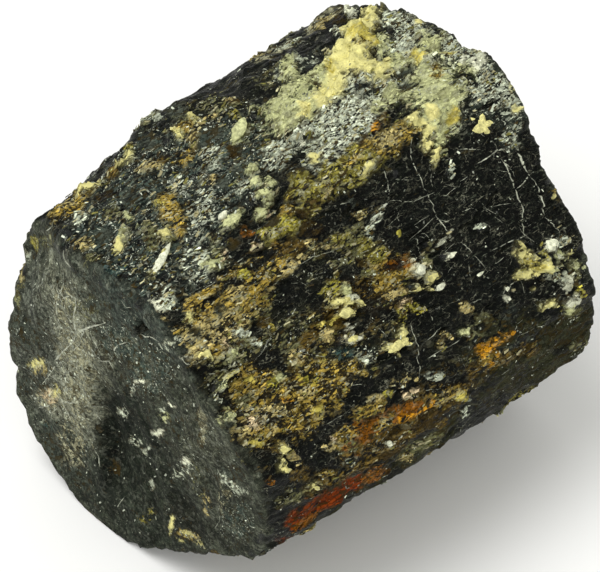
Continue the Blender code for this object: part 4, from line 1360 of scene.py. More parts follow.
# Where each thing starts to show and where it shows fully, on its own scale
SHOWS = {
    "calm": (0.75, 1.0),
    "cover": (-0.03, 0.05),
    "seams": (0.0, 0.09),
    # painted shade at the joints between smooth lumps
    "joints": (0.42, 0.72),
    "brown": (0.72, 0.76),
    "small chips": (0.12, 0.16),
    "large chips": (0.1, 0.13),
    "grainy": (0.1, 0.5),
    "rusty ground": (0.003, 0.012),
    "dark crystals": (0.22, 0.27),
    "pale crystals": (0.76, 0.82),
    "specks_and_glints": (0.69, 0.78),
    "threads": (0.3, 0.8),
}
# What the stone is tinted with, each by a colour as light is measured and how strongly
TINTS = {
    "brown": ((0.035, 0.024, 0.006, 1), 0.75),
    "stain": ((0.03, 0.024, 0.007, 1), 0.75),
    "bleach": ((0.60, 0.61, 0.42, 1), 0.35),
    # streaks on the glossy black: painted sheen, and partly pale mineral
    "sheen_streaks": ((0.15, 0.17, 0.115, 1), 0.65),
    "dark crystals": ((0.008, 0.011, 0.008, 1), 0.6),
    "pale crystals": ((0.30, 0.32, 0.25, 1), 0.55),
    "healed": ((0.35, 0.35, 0.25, 1), 0.7),
    # white specks: partly mineral, partly painted glints
    "specks_and_glints": ((0.62, 0.66, 0.52, 1), 0.35),
}
# Chips of three sizes in mm, and how much each size, with crumbs or fine noise, moves the edge of
# the cover and its shade; and the same for the smooth shade of thick grains, whose last weight
# darkens the joints between their lumps as painted shade
SHADER_CHIPS = (1.1, 0.5, 0.24)
EDGE_WEIGHTS = (0.3, 0.5, 0.35, 0.4)
SHADE_WEIGHTS = (0.5, 0.65, 0.35, 0.4)
SMOOTH_WEIGHTS = (0.4, 0.15, 0.1, -0.3)
SMOOTH_SHADE = 0.8
SEAM_SHADE = 0.25
JOINT_SIZE = 1.5
END_CRYSTAL_SIZE = 0.42
# Threads: cell size in mm and width as a share of it
COARSE_THREADS = (2.3, 0.022)
FINE_THREADS = (1.0, 0.035)
BUMP = {"Strength": 0.9, "Distance": 0.00024}
POLISH = {"Specular IOR Level": 0.045, "Coat Roughness": 0.18, "Coat IOR": 1.4}


def weighted(values, weights, start=0.0):
    """Start plus each value times its weight."""
    return sum((value * weight for value, weight in zip(values, weights)), start)


def crystal_finish():
    """Black tourmaline, and what covers it broken up by fractal noise into crumbs and gaps."""
    material, surface, tone = material_tree("tourmaline")
    place = tone.node("ShaderNodeTexCoord", {}, {}, "Object")
    vectors = {"place": place}
    for name, scale in FINISH_COORDINATES:
        vectors[name] = tone.node("ShaderNodeMapping", {}, {"Vector": place, "Scale": scale})
    crumbs, lumps, fine, stain, bleach, mottle, sheen_streaks, clusters = (
        noise(tone, vectors[vector], *form).rise(low, high)
        for vector, *form, low, high in FINISH_NOISES.values()
    )
    mineral, ground = attribute(tone, "mineral", "Color"), attribute(tone, "ground", "Color")
    cover, grain, speck, dull = (attribute(tone, n) for n in ("cover", "grain", "speck", "dull"))

    # angular chips of three sizes, long side along the crystal, with broken edges
    broken = warped(tone, vectors["lengthwise"], 0.5, 0.5)
    large, medium, small = (channels(tone, cells(tone, broken, size)) for size in SHADER_CHIPS)
    edges = cells(tone, broken, SHADER_CHIPS[1], "DISTANCE_TO_EDGE", "Distance")
    seams = edges.rise(*SHOWS["seams"])
    calm = grain.rise(*SHOWS["calm"])

    # where the cover is: the mesh's islands, with chips and crumbs added
    level = weighted((large[0], medium[0], small[0], crumbs), EDGE_WEIGHTS) - sum(EDGE_WEIGHTS) / 2
    covered = (cover + level * (1 - 0.35 * calm)).rise(*SHOWS["cover"])

    # its colour: each chip lighter or darker, some stained brown, some bleached, dark seams; on thick
    # grains, painted shade darkens the joints between smooth lumps
    uneven = weighted((large[1], medium[1], small[1], fine), SHADE_WEIGHTS)
    rounded = cells(tone, warped(tone, place, 0.9, 0.8), JOINT_SIZE, "F1", "Distance")
    joints = rounded.rise(*SHOWS["joints"])
    smooth = weighted((lumps, fine, medium[1], joints), SMOOTH_WEIGHTS, SMOOTH_SHADE)
    chipped = 0.02 + uneven * (SEAM_SHADE + (1 - SEAM_SHADE) * seams)
    painted_cover = lightened(tone, mineral, chipped * (1 - calm) + calm * smooth)
    colour, strength = TINTS["brown"]
    brown = medium[2].rise(*SHOWS["brown"]) * strength * (1 - calm)
    painted_cover = brown.tint(painted_cover, colour)
    colour, strength = TINTS["stain"]
    painted_cover = (stain * (strength - 0.6 * calm)).tint(painted_cover, colour)
    pale = (1 - small[2].rise(*SHOWS["small chips"])) * 0.45
    pale = pale + (1 - large[2].rise(*SHOWS["large chips"])) * 0.3
    colour, strength = TINTS["bleach"]
    pale = pale * (1 - calm) * grain.rise(*SHOWS["grainy"]) + bleach * grain * strength
    painted_cover = pale.tint(painted_cover, colour)

    # bare stone: black on the sides, mottled grey on the near end; on the glossy black, streaks of
    # painted sheen and pale mineral, none where it is rusty
    spotted = mottle * mottle * 1.3 + medium[1] * small[1] * 1.1 + fine * 0.35
    bare = lightened(tone, ground, 0.1 + spotted * (0.4 + 0.6 * seams))
    red, _, blue = channels(tone, ground)
    clean = 1 - (red - blue * 2.0).rise(*SHOWS["rusty ground"])
    colour, strength = TINTS["sheen_streaks"]
    bare = (sheen_streaks * strength * (1 - dull) * clean).tint(bare, colour)

    # the ends are broken across angular crystals, some of them dark and some pale
    lit = 0.25 + 6.0 * red
    crystals = channels(tone, cells(tone, warped(tone, place, 0.3, 0.2), END_CRYSTAL_SIZE))
    colour, strength = TINTS["dark crystals"]
    dark_crystals = (1 - crystals[1].rise(*SHOWS["dark crystals"])) * dull
    bare = (dark_crystals * strength).tint(bare, colour)
    colour, strength = TINTS["pale crystals"]
    pale_crystals = crystals[0].rise(*SHOWS["pale crystals"]) * (0.15 + 0.85 * clusters) * dull * lit
    bare = (pale_crystals * strength).tint(bare, colour)

    # white specks in clusters, partly white mineral and partly painted glints, and threads of paler
    # minerals along hair cracks
    specks_and_glints = noise(tone, place, 0.34, 3.0, 0.7)
    white = (specks_and_glints + speck * (0.03 + 0.15 * clusters)).rise(*SHOWS["specks_and_glints"])
    coarse = threads(tone, vectors["lengthwise"], *COARSE_THREADS) * crumbs.rise(*SHOWS["threads"])
    narrow = threads(tone, place, *FINE_THREADS) * clusters * (0.3 + 0.2 * dull)
    thread = coarse.maths("MAXIMUM", coarse, narrow) * (1 - dull + dull * lit)
    colour, strength = TINTS["healed"]
    healed = (covered * strength).tint(colour, mineral)
    finished = (thread * (0.65 + 0.1 * dull) * (1 - calm)).tint(covered.tint(bare, painted_cover), healed)
    colour, strength = TINTS["specks_and_glints"]
    finished = (white * (strength + (1 - strength) * small[2])).tint(finished, colour)

    height = covered * 0.4 + (medium[1] * 0.5 + small[1] * 0.25) * (1 - 0.7 * calm)
    height = height + lumps * 0.3 + fine * 0.3 - rounded * calm * 1.4
    feed(surface, {
        "Base Color": finished,
        "Roughness": 0.34 + covered * 0.4 + dull * 0.3 * (1 - covered) + sheen_streaks * 0.2,
        "Coat Weight": (1 - covered) * (1 - dull) * 0.13,
        "Normal": tone.node("ShaderNodeBump", {}, {"Height": height, **BUMP}),
        **POLISH,
    })
    return material


body_mesh, *body_layout = crystal_body()
painted(body_mesh, *body_layout)
body_mesh.materials.append(crystal_finish())
crystal = bpy.data.objects.new("crystal_body", body_mesh)
bpy.context.scene.collection.objects.link(crystal)
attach(crystal, "root")
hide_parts("tourmaline_crystal")


# Grains of feldspar and quartz
# Small blocks of the crust's own minerals, split along flat cleavages and half sunk in it. They
# stand in for the many grains, too small to be part of the solid, that make the crust glitter.

BLOCK_COUNT = 7500
BLOCK_SEED = 51
BLOCK_TRIES = 12
BLOCK_CLOCK = (-75, 285)
BLOCK_SIZES = (0.14, 0.55)
BLOCK_SHAPES = ((0.7, 0.6, 0.45), (1.4, 1.0, 0.8))
BLOCK_JITTER = 0.16
BLOCK_SHADES = (0.7, 1.25)
BLOCK_REACH = 0.8
BLOCK_TILT = 0.35
BLOCK_SINK = 0.3
SCATTER_MARGIN = 1.0
BLOCK_FACES = ((0, 2, 3, 1), (4, 5, 7, 6), (0, 1, 5, 4), (2, 6, 7, 3), (0, 4, 6, 2), (1, 3, 7, 5))
BLOCK_CORNERS = np.array(list(np.ndindex(2, 2, 2))) - 0.5


def unit(vectors):
    """The same directions with a length of 1."""
    return vectors / np.linalg.norm(vectors, axis=-1, keepdims=True)


def side_point(clock, x):
    """The finished surface of the side at clock angles and x, in mm where the crystal stands."""
    return laid_down(on_axis(clock, side_radius(clock, x), x))


def side_frame(clock, x, reach):
    """A place on the side and its three directions: lengthwise, round the clock, outwards.

    They are measured to points this many mm away, so that small bumps don't turn them.
    """
    turn = math.degrees(reach / MEAN_RADIUS)
    here = side_point(clock, x)
    lengthwise = unit(side_point(clock, x + reach) - side_point(clock, x - reach))
    around = unit(side_point(clock + turn, x) - side_point(clock - turn, x))
    outward = unit(np.cross(around, lengthwise))
    return here, np.stack((lengthwise, np.cross(lengthwise, outward), outward), 1)


def turned(directions, spin, dice, tilt):
    """The directions, each turned by its spin about its outward axis and tilted a little."""
    spin = spin[:, None]
    first = directions[:, 0] * np.cos(spin) + directions[:, 1] * np.sin(spin)
    outward = unit(directions[:, 2] + dice.normal(0, tilt, (len(directions), 3)))
    first = unit(first - outward * (first * outward).sum(-1, keepdims=True))
    return np.stack((first, np.cross(outward, first), outward), 1)


def many_solids(name, corners, faces, here, directions, sizes, colours):
    """One mesh of many small solids: corners (solid, corner, 3) scaled, turned and placed."""
    points = here[:, None] + np.einsum("nci,nij->ncj", corners * sizes[:, None], directions)
    count = corners.shape[1]
    offsets = np.arange(len(here))[:, None, None] * count
    mesh = bpy.data.meshes.new(name)
    all_faces = (np.array(faces)[None] + offsets).reshape(-1, len(faces[0])).tolist()
    mesh.from_pydata(inside_box(points.reshape(-1, 3)).tolist(), [], all_faces)
    coloured(mesh, "mineral", np.repeat(colours, count, 0))
    return mesh


def grain_finish(name, roughness, gloss):
    """The grain's own colour, clouded and finely pitted."""
    material, surface, tone = material_tree(name)
    place = tone.node("ShaderNodeTexCoord", {}, {}, "Object")
    cloud = noise(tone, place, 0.5, 5.0, 0.7).rise(0.28, 0.72)
    pits = noise(tone, place, 0.12, 3.0, 0.7)
    feed(surface, {
        "Base Color": lightened(tone, attribute(tone, "mineral", "Color"), 0.5 + cloud * 0.8),
        "Roughness": roughness + cloud * 0.25,
        "Specular IOR Level": gloss,
        "Normal": tone.node("ShaderNodeBump", {}, {"Height": pits, "Strength": 0.5, "Distance": 0.00005}),
    })
    return material


def grown_on(piece_name, mesh, material):
    """Makes a piece of the crystal from a mesh and a material."""
    mesh.materials.append(material)
    piece = bpy.data.objects.new(piece_name, mesh)
    bpy.context.scene.collection.objects.link(piece)
    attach(piece, "root")
    return piece


def scattered(dice, count, first, last):
    """Random places on the side, between the two rounded edges: clock angles and x."""
    clock = dice.uniform(first, last, count)
    start = end_x(clock, 1.0, NEAR_END) + SCATTER_MARGIN
    end = end_x(clock, 1.0, FAR_END) - SCATTER_MARGIN
    return clock, start + (end - start) * dice.random(count)


def feldspar_grains():
    """Blocks with jittered corners, thickest where the cover is grainy, in its colours."""
    dice = np.random.default_rng(BLOCK_SEED)
    clock, x = scattered(dice, BLOCK_TRIES * BLOCK_COUNT, *BLOCK_CLOCK)
    layers = covering(clock, x)
    chance = layers["grain"] ** 2 * step(layers["cover"] - 0.05, 0.3) * 0.25
    kept = np.flatnonzero(chance > dice.uniform(0, 1.1, len(clock)))[:BLOCK_COUNT]
    clock, x = clock[kept], x[kept]
    here, directions = side_frame(clock, x, BLOCK_REACH)
    directions = turned(directions, dice.uniform(0, 2 * math.pi, len(clock)), dice, BLOCK_TILT)
    low, high = BLOCK_SIZES
    size = low + (high - low) * dice.random(len(clock)) ** 2
    sizes = size[:, None] * dice.uniform(*BLOCK_SHAPES, (len(clock), 3))
    corners = BLOCK_CORNERS + dice.uniform(-BLOCK_JITTER, BLOCK_JITTER, (len(clock), 8, 3))
    colours = layers["mineral"][kept] * dice.uniform(*BLOCK_SHADES, (len(clock), 1))
    here = here - directions[:, 2] * sizes[:, 2:] * BLOCK_SINK
    return many_solids("feldspar_grains", corners, BLOCK_FACES, here, directions, sizes, colours)


grown_on("feldspar_grains", feldspar_grains(), grain_finish("feldspar", 0.35, 0.35))


# Stained chips
# Splinters of the crystal's own surface, long side along it, each with its own stain: ochre,
# brown, olive, cream or bare black. They overlap like shingles and give the front its grain.

# Pieces: name, how many chips, seed, and the clock angles from and to
CHIP_PIECES = (("stained_chips", 16000, 55, -75, 112), ("stained_chips_back", 11000, 56, 112, 285))
CHIP_LENGTHS = (0.2, 0.9)
CHIP_THICKNESS = 0.09
CHIP_TRIES = 5
CHIP_REACH_MM = 0.5
CHIP_YAW = 0.24
CHIP_TILT = 0.12
CHIP_NARROWNESS = (0.2, 0.45)
CHIP_THICKENING = (0.6, 1.4)
CHIP_JITTER = 0.22
CHIP_SHADE = (-0.15, 0.33)
CHIP_TINTING = (0.6, 1.3)
CHIP_DEPTH = 0.1
# Some chips take one of these colours in place of the stain round them, each this often
CHIP_COLOURS = (
    (0.22, (0.005, 0.006, 0.004)),
    (0.14, (0.050, 0.034, 0.008)),
    (0.09, (0.36, 0.33, 0.18)),
    (0.07, (0.19, 0.18, 0.045)),
    (0.04, (0.55, 0.52, 0.30)),
)
# Where the stain has less blue than this share of its red, no chip is paler than this green
RUSTY = 0.08
PALE_CHIP = 0.1


def stained_chips(name, count, seed, first, last):
    """Thin blocks with jittered corners where the side is stained but not grown over."""
    dice = np.random.default_rng(seed)
    clock, x = scattered(dice, CHIP_TRIES * count, first, last)
    layers = covering(clock, x)
    grown_over = step(layers["grain"] - 0.7, 0.2)
    chance = step(layers["cover"] + 0.12, 0.35) * (1 - grown_over) * (1.6 * layers["grain"] - 0.1)
    kept = np.flatnonzero(chance > dice.random(len(clock)))[:count]
    clock, x = clock[kept], x[kept]
    here, directions = side_frame(clock, x, CHIP_REACH_MM)
    directions = turned(directions, dice.normal(0, CHIP_YAW, len(clock)), dice, CHIP_TILT)
    low, high = CHIP_LENGTHS
    length = low + (high - low) * dice.random(len(clock)) ** 2
    narrow = dice.uniform(*CHIP_NARROWNESS, len(clock))
    thick = CHIP_THICKNESS * dice.uniform(*CHIP_THICKENING, len(clock))
    sizes = np.stack((length, length * narrow, thick), -1)
    corners = BLOCK_CORNERS + dice.uniform(-CHIP_JITTER, CHIP_JITTER, (len(clock), 8, 3))
    colours = layers["mineral"][kept] * np.exp(dice.normal(*CHIP_SHADE, (len(clock), 1)))
    draw, passed = dice.random(len(clock)), 0.0
    rusty = layers["mineral"][kept, 2] < RUSTY * layers["mineral"][kept, 0]
    for share, colour in CHIP_COLOURS:
        chosen = (draw >= passed) & (draw < passed + share)
        chosen &= ~rusty | (colour[1] < PALE_CHIP)
        colours[chosen] = np.array(colour) * dice.uniform(*CHIP_TINTING, (chosen.sum(), 1))
        passed += share
    here = here - directions[:, 2] * thick[:, None] * CHIP_DEPTH
    return many_solids(name, corners, BLOCK_FACES, here, directions, sizes, colours)


stained_stone = grain_finish("stained_stone", 0.45, 0.15)
for name, *layout in CHIP_PIECES:
    grown_on(name, stained_chips(name, *layout), stained_stone)


# Flakes of mica
# Thin pale lozenges of mica, torn from its sheets, lying almost flat on the black stone: many
# on the upper left, where they look like white specks, and a few everywhere else.

# Pieces: name, how many flakes on the side, how many on the near end, seed, and clock angles
FLAKE_PIECES = (("mica_flakes", 12000, 2600, 61, -80, 105), ("mica_flakes_back", 5500, 0, 63, 105, 280))
FLAKE_SIZES = (0.08, 0.30)
FLAKE_THICKNESS = 0.12
FLAKE_TRIES = 6
FLAKE_REACH = 0.5
FLAKE_TILT = 0.25
FLAKE_JITTER = 0.2
FLAKE_SHADES = (0.15, 1.3)
FLAKE_LIFT = 0.03
FLAKE_CLUSTERS = ((1.8, 1, 62),)
END_FLAKE_TRIES = 3
END_FLAKE_Y = (-27, 24)
END_FLAKE_Z = (-25, 24)
END_FLAKE_SIZE = 0.85
END_FLAKE_REACH = 0.96
MICA_COLOUR = np.array((0.54, 0.58, 0.45))


def near_rim_share(y, z):
    """How far out on the near end a place is: 0 in its middle, 1 on its rim."""
    clock = np.linspace(-180, 180, 721)
    rim = side_radius(clock, end_x(clock, 1.0, NEAR_END)) - bevel_width(clock)
    return np.hypot(y, z) / np.interp(np.degrees(np.arctan2(-y, z)), clock, rim)


def near_point(y, z):
    """The finished surface of the near end at y and z from the axis, where the crystal stands."""
    return laid_down(end_surface(y, z, near_rim_share(y, z), NEAR_END, near_relief))


def near_frame(y, z, reach):
    """A place on the near end and its three directions: towards -Y, upwards, outwards."""
    across = unit(near_point(y - reach, z) - near_point(y + reach, z))
    upward = unit(near_point(y, z + reach) - near_point(y, z - reach))
    outward = unit(np.cross(across, upward))
    outward *= np.where(outward[:, :1] > 0, -1, 1)
    return near_point(y, z), np.stack((across, np.cross(outward, across), outward), 1)


def flakes_on_side(dice, count, first, last):
    """Places and directions of the side's flakes, thickest where specks are."""
    clock, x = scattered(dice, FLAKE_TRIES * count, first, last)
    layers = covering(clock, x)
    flat = np.stack((x, arc_mm(clock), 0 * x), -1)
    clustered = step(noise_sum(flat, FLAKE_CLUSTERS), 1.2)
    chance = (0.035 + layers["speck"] * 0.55) * (0.15 + clustered ** 2)
    kept = np.flatnonzero(chance > dice.random(len(clock)))[:count]
    return side_frame(clock[kept], x[kept], FLAKE_REACH)


def flakes_on_end(dice, count):
    """Places and directions of the near end's flakes, thickest on its palest stone."""
    tries = count * END_FLAKE_TRIES
    y, z = dice.uniform(*END_FLAKE_Y, tries), dice.uniform(*END_FLAKE_Z, tries)
    layers = end_covering(y, z)
    inside = near_rim_share(y, z) < END_FLAKE_REACH
    chance = (0.02 + 0.8 * layers["speck"] + 3 * layers["ground"][:, 0]) * inside
    kept = np.flatnonzero(chance > dice.random(len(y)))[:count]
    return near_frame(y[kept], z[kept], FLAKE_REACH)


def mica_flakes(name, side_count, end_count, seed, first, last):
    """Flat blocks with jittered corners on the side and the near end, in shades of grey."""
    dice = np.random.default_rng(seed)
    side, end = flakes_on_side(dice, side_count, first, last), flakes_on_end(dice, end_count)
    here, directions = (np.concatenate(pair) for pair in zip(side, end))
    directions = turned(directions, dice.uniform(0, 2 * math.pi, len(here)), dice, FLAKE_TILT)
    low, high = FLAKE_SIZES
    size = low + (high - low) * dice.random(len(here)) ** 3
    low_shape, high_shape = (1, 0.4, FLAKE_THICKNESS), (2, 1, 2 * FLAKE_THICKNESS)
    size[len(side[0]):] *= END_FLAKE_SIZE
    sizes = size[:, None] * dice.uniform(low_shape, high_shape, (len(here), 3))
    corners = BLOCK_CORNERS + dice.uniform(-FLAKE_JITTER, FLAKE_JITTER, (len(here), 8, 3))
    colours = MICA_COLOUR * dice.uniform(*FLAKE_SHADES, (len(here), 1)) ** 1.5
    here = here + directions[:, 2] * FLAKE_LIFT
    return many_solids(name, corners, BLOCK_FACES, here, directions, sizes, colours)


mica = grain_finish("mica", 0.3, 0.4)
for name, *layout in FLAKE_PIECES:
    grown_on(name, mica_flakes(name, *layout), mica)


# Pale chips
# Separate chips of cream feldspar and white quartz that lie on the stone: long flakes, lenses, a
# star of three crossed splinters and small lumps. Each is a flat lens with an uneven outline.

# Mineral, then x, clock, half length and half width in mm, turn, and how proud it stands in mm
PALE_CHIPS = (
    ("white", -24.7, 5.4, 3.3, 0.55, -25, 0.35),
    ("pale_green", -0.8, -20.1, 1.95, 1.0, -14, 0.5),
    ("pale_green", -13.9, 8.8, 1.95, 0.95, -12, 0.55),
    ("white", -13.9, 5.0, 0.95, 0.5, -16, 0.45),
    ("pale_green", -6.8, 2.2, 1.15, 0.9, -20, 0.5),
    ("cream", 23.7, 26.7, 2.1, 0.8, 11, 0.4),
    ("cream", 23.7, 26.7, 2.0, 0.75, 70, 0.4),
    ("cream", 23.7, 26.7, 1.9, 0.75, -50, 0.4),
    ("yellow_olive", 5.1, 38.8, 1.4, 0.45, -61, 0.35),
    ("cream", -4.1, 63.9, 2.1, 0.6, 4, 0.45),
    ("white", 9.6, 48.1, 1.3, 0.33, 3, 0.3),
    ("white", 9.3, 51.8, 0.8, 0.33, -1, 0.3),
    ("white", 4.3, 50.6, 1.2, 0.65, 5, 0.4),
    ("white", 6.0, 58.2, 0.9, 0.4, 3, 0.3),
    ("white", 12.3, 61.4, 0.75, 0.24, 1, 0.25),
    ("white", 23.3, 64.0, 1.4, 0.8, 11, 0.5),
    ("grey_white", 15.7, 50.6, 0.65, 0.4, 24, 0.3),
    ("white", -10.4, 85.9, 0.5, 0.4, 50, 0.35),
    ("cream", -8.9, 56.7, 1.05, 0.46, 15, 0.35),
    ("cream", -8.0, 49.5, 1.2, 0.66, 15, 0.4),
    ("cream", 28.0, 54.7, 0.65, 0.45, 30, 0.35),
)
CHIP_RINGS = 14
CHIP_SIDES = 12
CHIP_SINK = 0.25
LENS_REACH = 1.0
LENS_ROUGHNESS = ((0.6, 0.3, 77),)
LENS_SPACING = 9
CHIP_POINT = 0.8


def chip_form():
    """A lens with pointed ends: unit points (x, y, z) and faces.

    At a share s of its length, -1 to 1, its section is an ellipse of half size (1 - s^2)^0.8.
    """
    share = np.linspace(-1, 1, CHIP_RINGS)[1:-1, None]
    angle = np.arange(CHIP_SIDES) * 2 * math.pi / CHIP_SIDES
    width = (1 - share ** 2) ** CHIP_POINT
    rings = np.stack((share + 0 * angle, width * np.cos(angle), width * np.sin(angle)), -1)
    points = np.concatenate((rings.reshape(-1, 3), ((-1, 0, 0), (1, 0, 0))))
    index = np.arange(rings.shape[0] * CHIP_SIDES).reshape(-1, CHIP_SIDES)
    ahead = np.roll(index, -1, axis=1)
    last = len(points)
    faces = np.stack((index[:-1], ahead[:-1], ahead[1:], index[1:]), -1).reshape(-1, 4).tolist()
    faces += [(last - 2, b, a) for a, b in zip(index[0], ahead[0])]
    faces += [(last - 1, a, b) for a, b in zip(index[-1], ahead[-1])]
    return points, [[int(i) for i in face] for face in faces]


def pale_chips():
    """The chips as one mesh, each lens roughened by noise and turned to lie on the side."""
    form, form_faces = chip_form()
    points, faces, colours = [], [], []
    for number, (mineral, x, clock, half_length, half_width, turn, proud) in enumerate(PALE_CHIPS):
        here, directions = side_frame(np.array((clock,)), np.array((x,)), LENS_REACH)
        angle = math.radians(turn)
        first = directions[0, 0] * math.cos(angle) + directions[0, 1] * math.sin(angle)
        second = np.cross(directions[0, 2], first)
        local = form * (half_length, half_width, proud)
        rough = 1 + noise_sum(local + number * LENS_SPACING, LENS_ROUGHNESS)
        local = local * np.stack((rough ** 0.3, rough, rough ** 2), -1)
        faces += [[i + len(form) * number for i in face] for face in form_faces]
        lifted = here[0] - directions[0, 2] * proud * CHIP_SINK
        points.append(lifted + local @ np.stack((first, second, directions[0, 2])))
        colours.append(np.tile(MINERALS[mineral][0], (len(form), 1)))
    mesh = bpy.data.meshes.new("pale_chips")
    mesh.from_pydata(inside_box(np.concatenate(points)).tolist(), [], faces)
    coloured(mesh, "mineral", np.concatenate(colours))
    return mesh


grown_on("pale_chips", pale_chips(), grain_finish("pale_feldspar", 0.4, 0.3))


# White veins
# Cracks in the stone healed with white quartz and feldspar. Each is a thin line that wavers and
# breaks off. They are modelled as flat ribbons, barely proud of the surface they cross.

# Named veins on the side: widest half width in mm, then places as (x, clock)
VEINS = (
    (0.09, (13.9, 18.4), (12.6, 22.0), (12.0, 25.9), (11.7, 29.5), (11.2, 36.2),
     (10.9, 41.6), (11.1, 47.3), (10.7, 48.9)),
    (0.05, (8.1, 20.6), (7.6, 24.1), (6.2, 28.9)),
    (0.12, (5.7, 29.3), (3.8, 30.6), (2.5, 31.6), (0.8, 32.2)),
    (0.05, (7.9, 24.6), (10.3, 27.8), (12.2, 27.9)),
    (0.05, (6.0, 29.4), (8.8, 33.3), (12.5, 34.6)),
    (0.05, (13.0, 36.5), (13.7, 37.3), (15.1, 36.8), (16.1, 37.1), (16.4, 36.1), (18.4, 36.1)),
    (0.05, (7.0, 39.3), (8.4, 39.2), (10.2, 39.4)),
    (0.05, (10.8, 41.5), (11.6, 43.5), (12.4, 43.9)),
    (0.04, (11.5, 40.8), (12.2, 41.3), (12.4, 43.2)),
    (0.05, (16.2, 28.8), (17.4, 29.2), (18.4, 30.5)),
    (0.05, (18.4, 28.2), (21.6, 31.8)),
    (0.10, (19.5, 34.5), (21.1, 34.7), (22.5, 34.8)),
    (0.20, (27.3, 31.4), (27.0, 35.4), (26.6, 38.6), (25.9, 41.7), (26.2, 45.2)),
    (0.12, (26.2, 45.2), (26.5, 48.4), (26.1, 51.2), (25.6, 54.4), (25.3, 58.1)),
    (0.16, (25.3, 58.1), (25.6, 61.5), (26.0, 63.6)),
    (0.18, (21.5, 34.9), (23.8, 34.5), (25.6, 35.9), (27.0, 35.7)),
    (0.15, (23.9, 35.9), (23.7, 39.0), (23.4, 42.7), (23.5, 46.7)),
    (0.10, (23.5, 46.7), (23.2, 49.6), (22.6, 52.9), (21.8, 55.9), (21.2, 59.0)),
    (0.10, (23.4, 47.2), (24.9, 46.5), (26.2, 45.6)),
    (0.05, (22.1, 57.6), (23.5, 58.1), (25.2, 58.8)),
    (0.06, (13.6, 57.3), (16.5, 57.8), (19.0, 58.6), (21.0, 59.4)),
    (0.05, (20.9, 59.7), (21.8, 56.9)),
    (0.05, (17.3, 59.6), (16.6, 60.9), (15.4, 61.4), (14.2, 61.1)),
    (0.07, (0.1, 61.9), (-0.7, 65.4), (-1.4, 69.1), (-1.9, 73.6), (-3.0, 78.2)),
    (0.06, (-1.0, 72.6), (2.0, 73.0), (3.7, 73.4), (5.6, 73.4)),
    (0.08, (7.9, 65.9), (11.1, 67.7)),
    (0.06, (13.0, 78.1), (14.4, 78.2), (16.4, 78.2)),
    (0.12, (13.7, 69.8), (14.6, 68.2), (16.9, 68.5)),
    (0.07, (24.7, 22.5), (26.3, 24.0), (29.0, 24.8)),
    (0.08, (-11.4, -36.0), (-9.0, -36.9)),
    (0.05, (2.1, -33.5), (2.2, -31.2), (3.1, -29.0), (5.7, -26.5)),
    (0.05, (2.8, -26.6), (2.1, -20.2)),
    (0.05, (-8.4, -11.8), (-6.6, -10.1), (-4.3, -7.7)),
    (0.05, (-13.5, 15.0), (-11.0, 14.9)),
    (0.08, (-1.3, 21.9), (0.6, 23.5)),
    (0.08, (-24.2, 21.3), (-21.9, 21.1), (-19.8, 21.1), (-17.9, 20.0), (-15.8, 19.6)),
    (0.05, (-32.0, 32.9), (-31.6, 35.9), (-30.3, 37.5), (-28.6, 37.5)),
    (0.07, (-22.4, 46.7), (-20.9, 45.6), (-19.4, 43.6), (-17.7, 42.4), (-16.0, 41.9), (-13.7, 40.0)),
    (0.07, (-15.2, 31.0), (-13.7, 31.0)),
    (0.10, (-10.0, 35.1), (-9.5, 33.6), (-8.8, 35.2), (-7.9, 35.9)),
    (0.05, (-12.6, 33.3), (-11.0, 35.1), (-10.8, 36.7)),
    (0.05, (-4.9, 57.4), (-4.5, 59.8), (-4.3, 61.7)),
    (0.08, (1.0, 57.1), (2.2, 57.0), (3.3, 57.6)),
    (0.06, (3.3, 62.4), (2.8, 64.3), (2.9, 66.4)),
    (0.09, (4.8, 52.3), (4.2, 55.5)),
    (0.06, (-29.5, 41.7), (-28.5, 43.0), (-27.3, 43.3), (-25.7, 45.5)),
    (0.06, (-20.5, 61.6), (-19.9, 63.2), (-18.5, 64.4)),
    (0.06, (-15.4, 31.1), (-12.2, 30.2), (-8.1, 30.7), (-2.9, 33.3)),
    (0.05, (-18.8, 71.9), (-16.3, 72.4), (-13.8, 73.0)),
    (0.04, (-13.4, 84.5), (-12.3, 85.6), (-10.4, 86.9)),
    (0.04, (17.1, 47.0), (20.2, 48.4), (22.6, 50.6)),
    (0.04, (13.4, 43.4), (15.9, 44.2), (17.1, 47.0)),
)
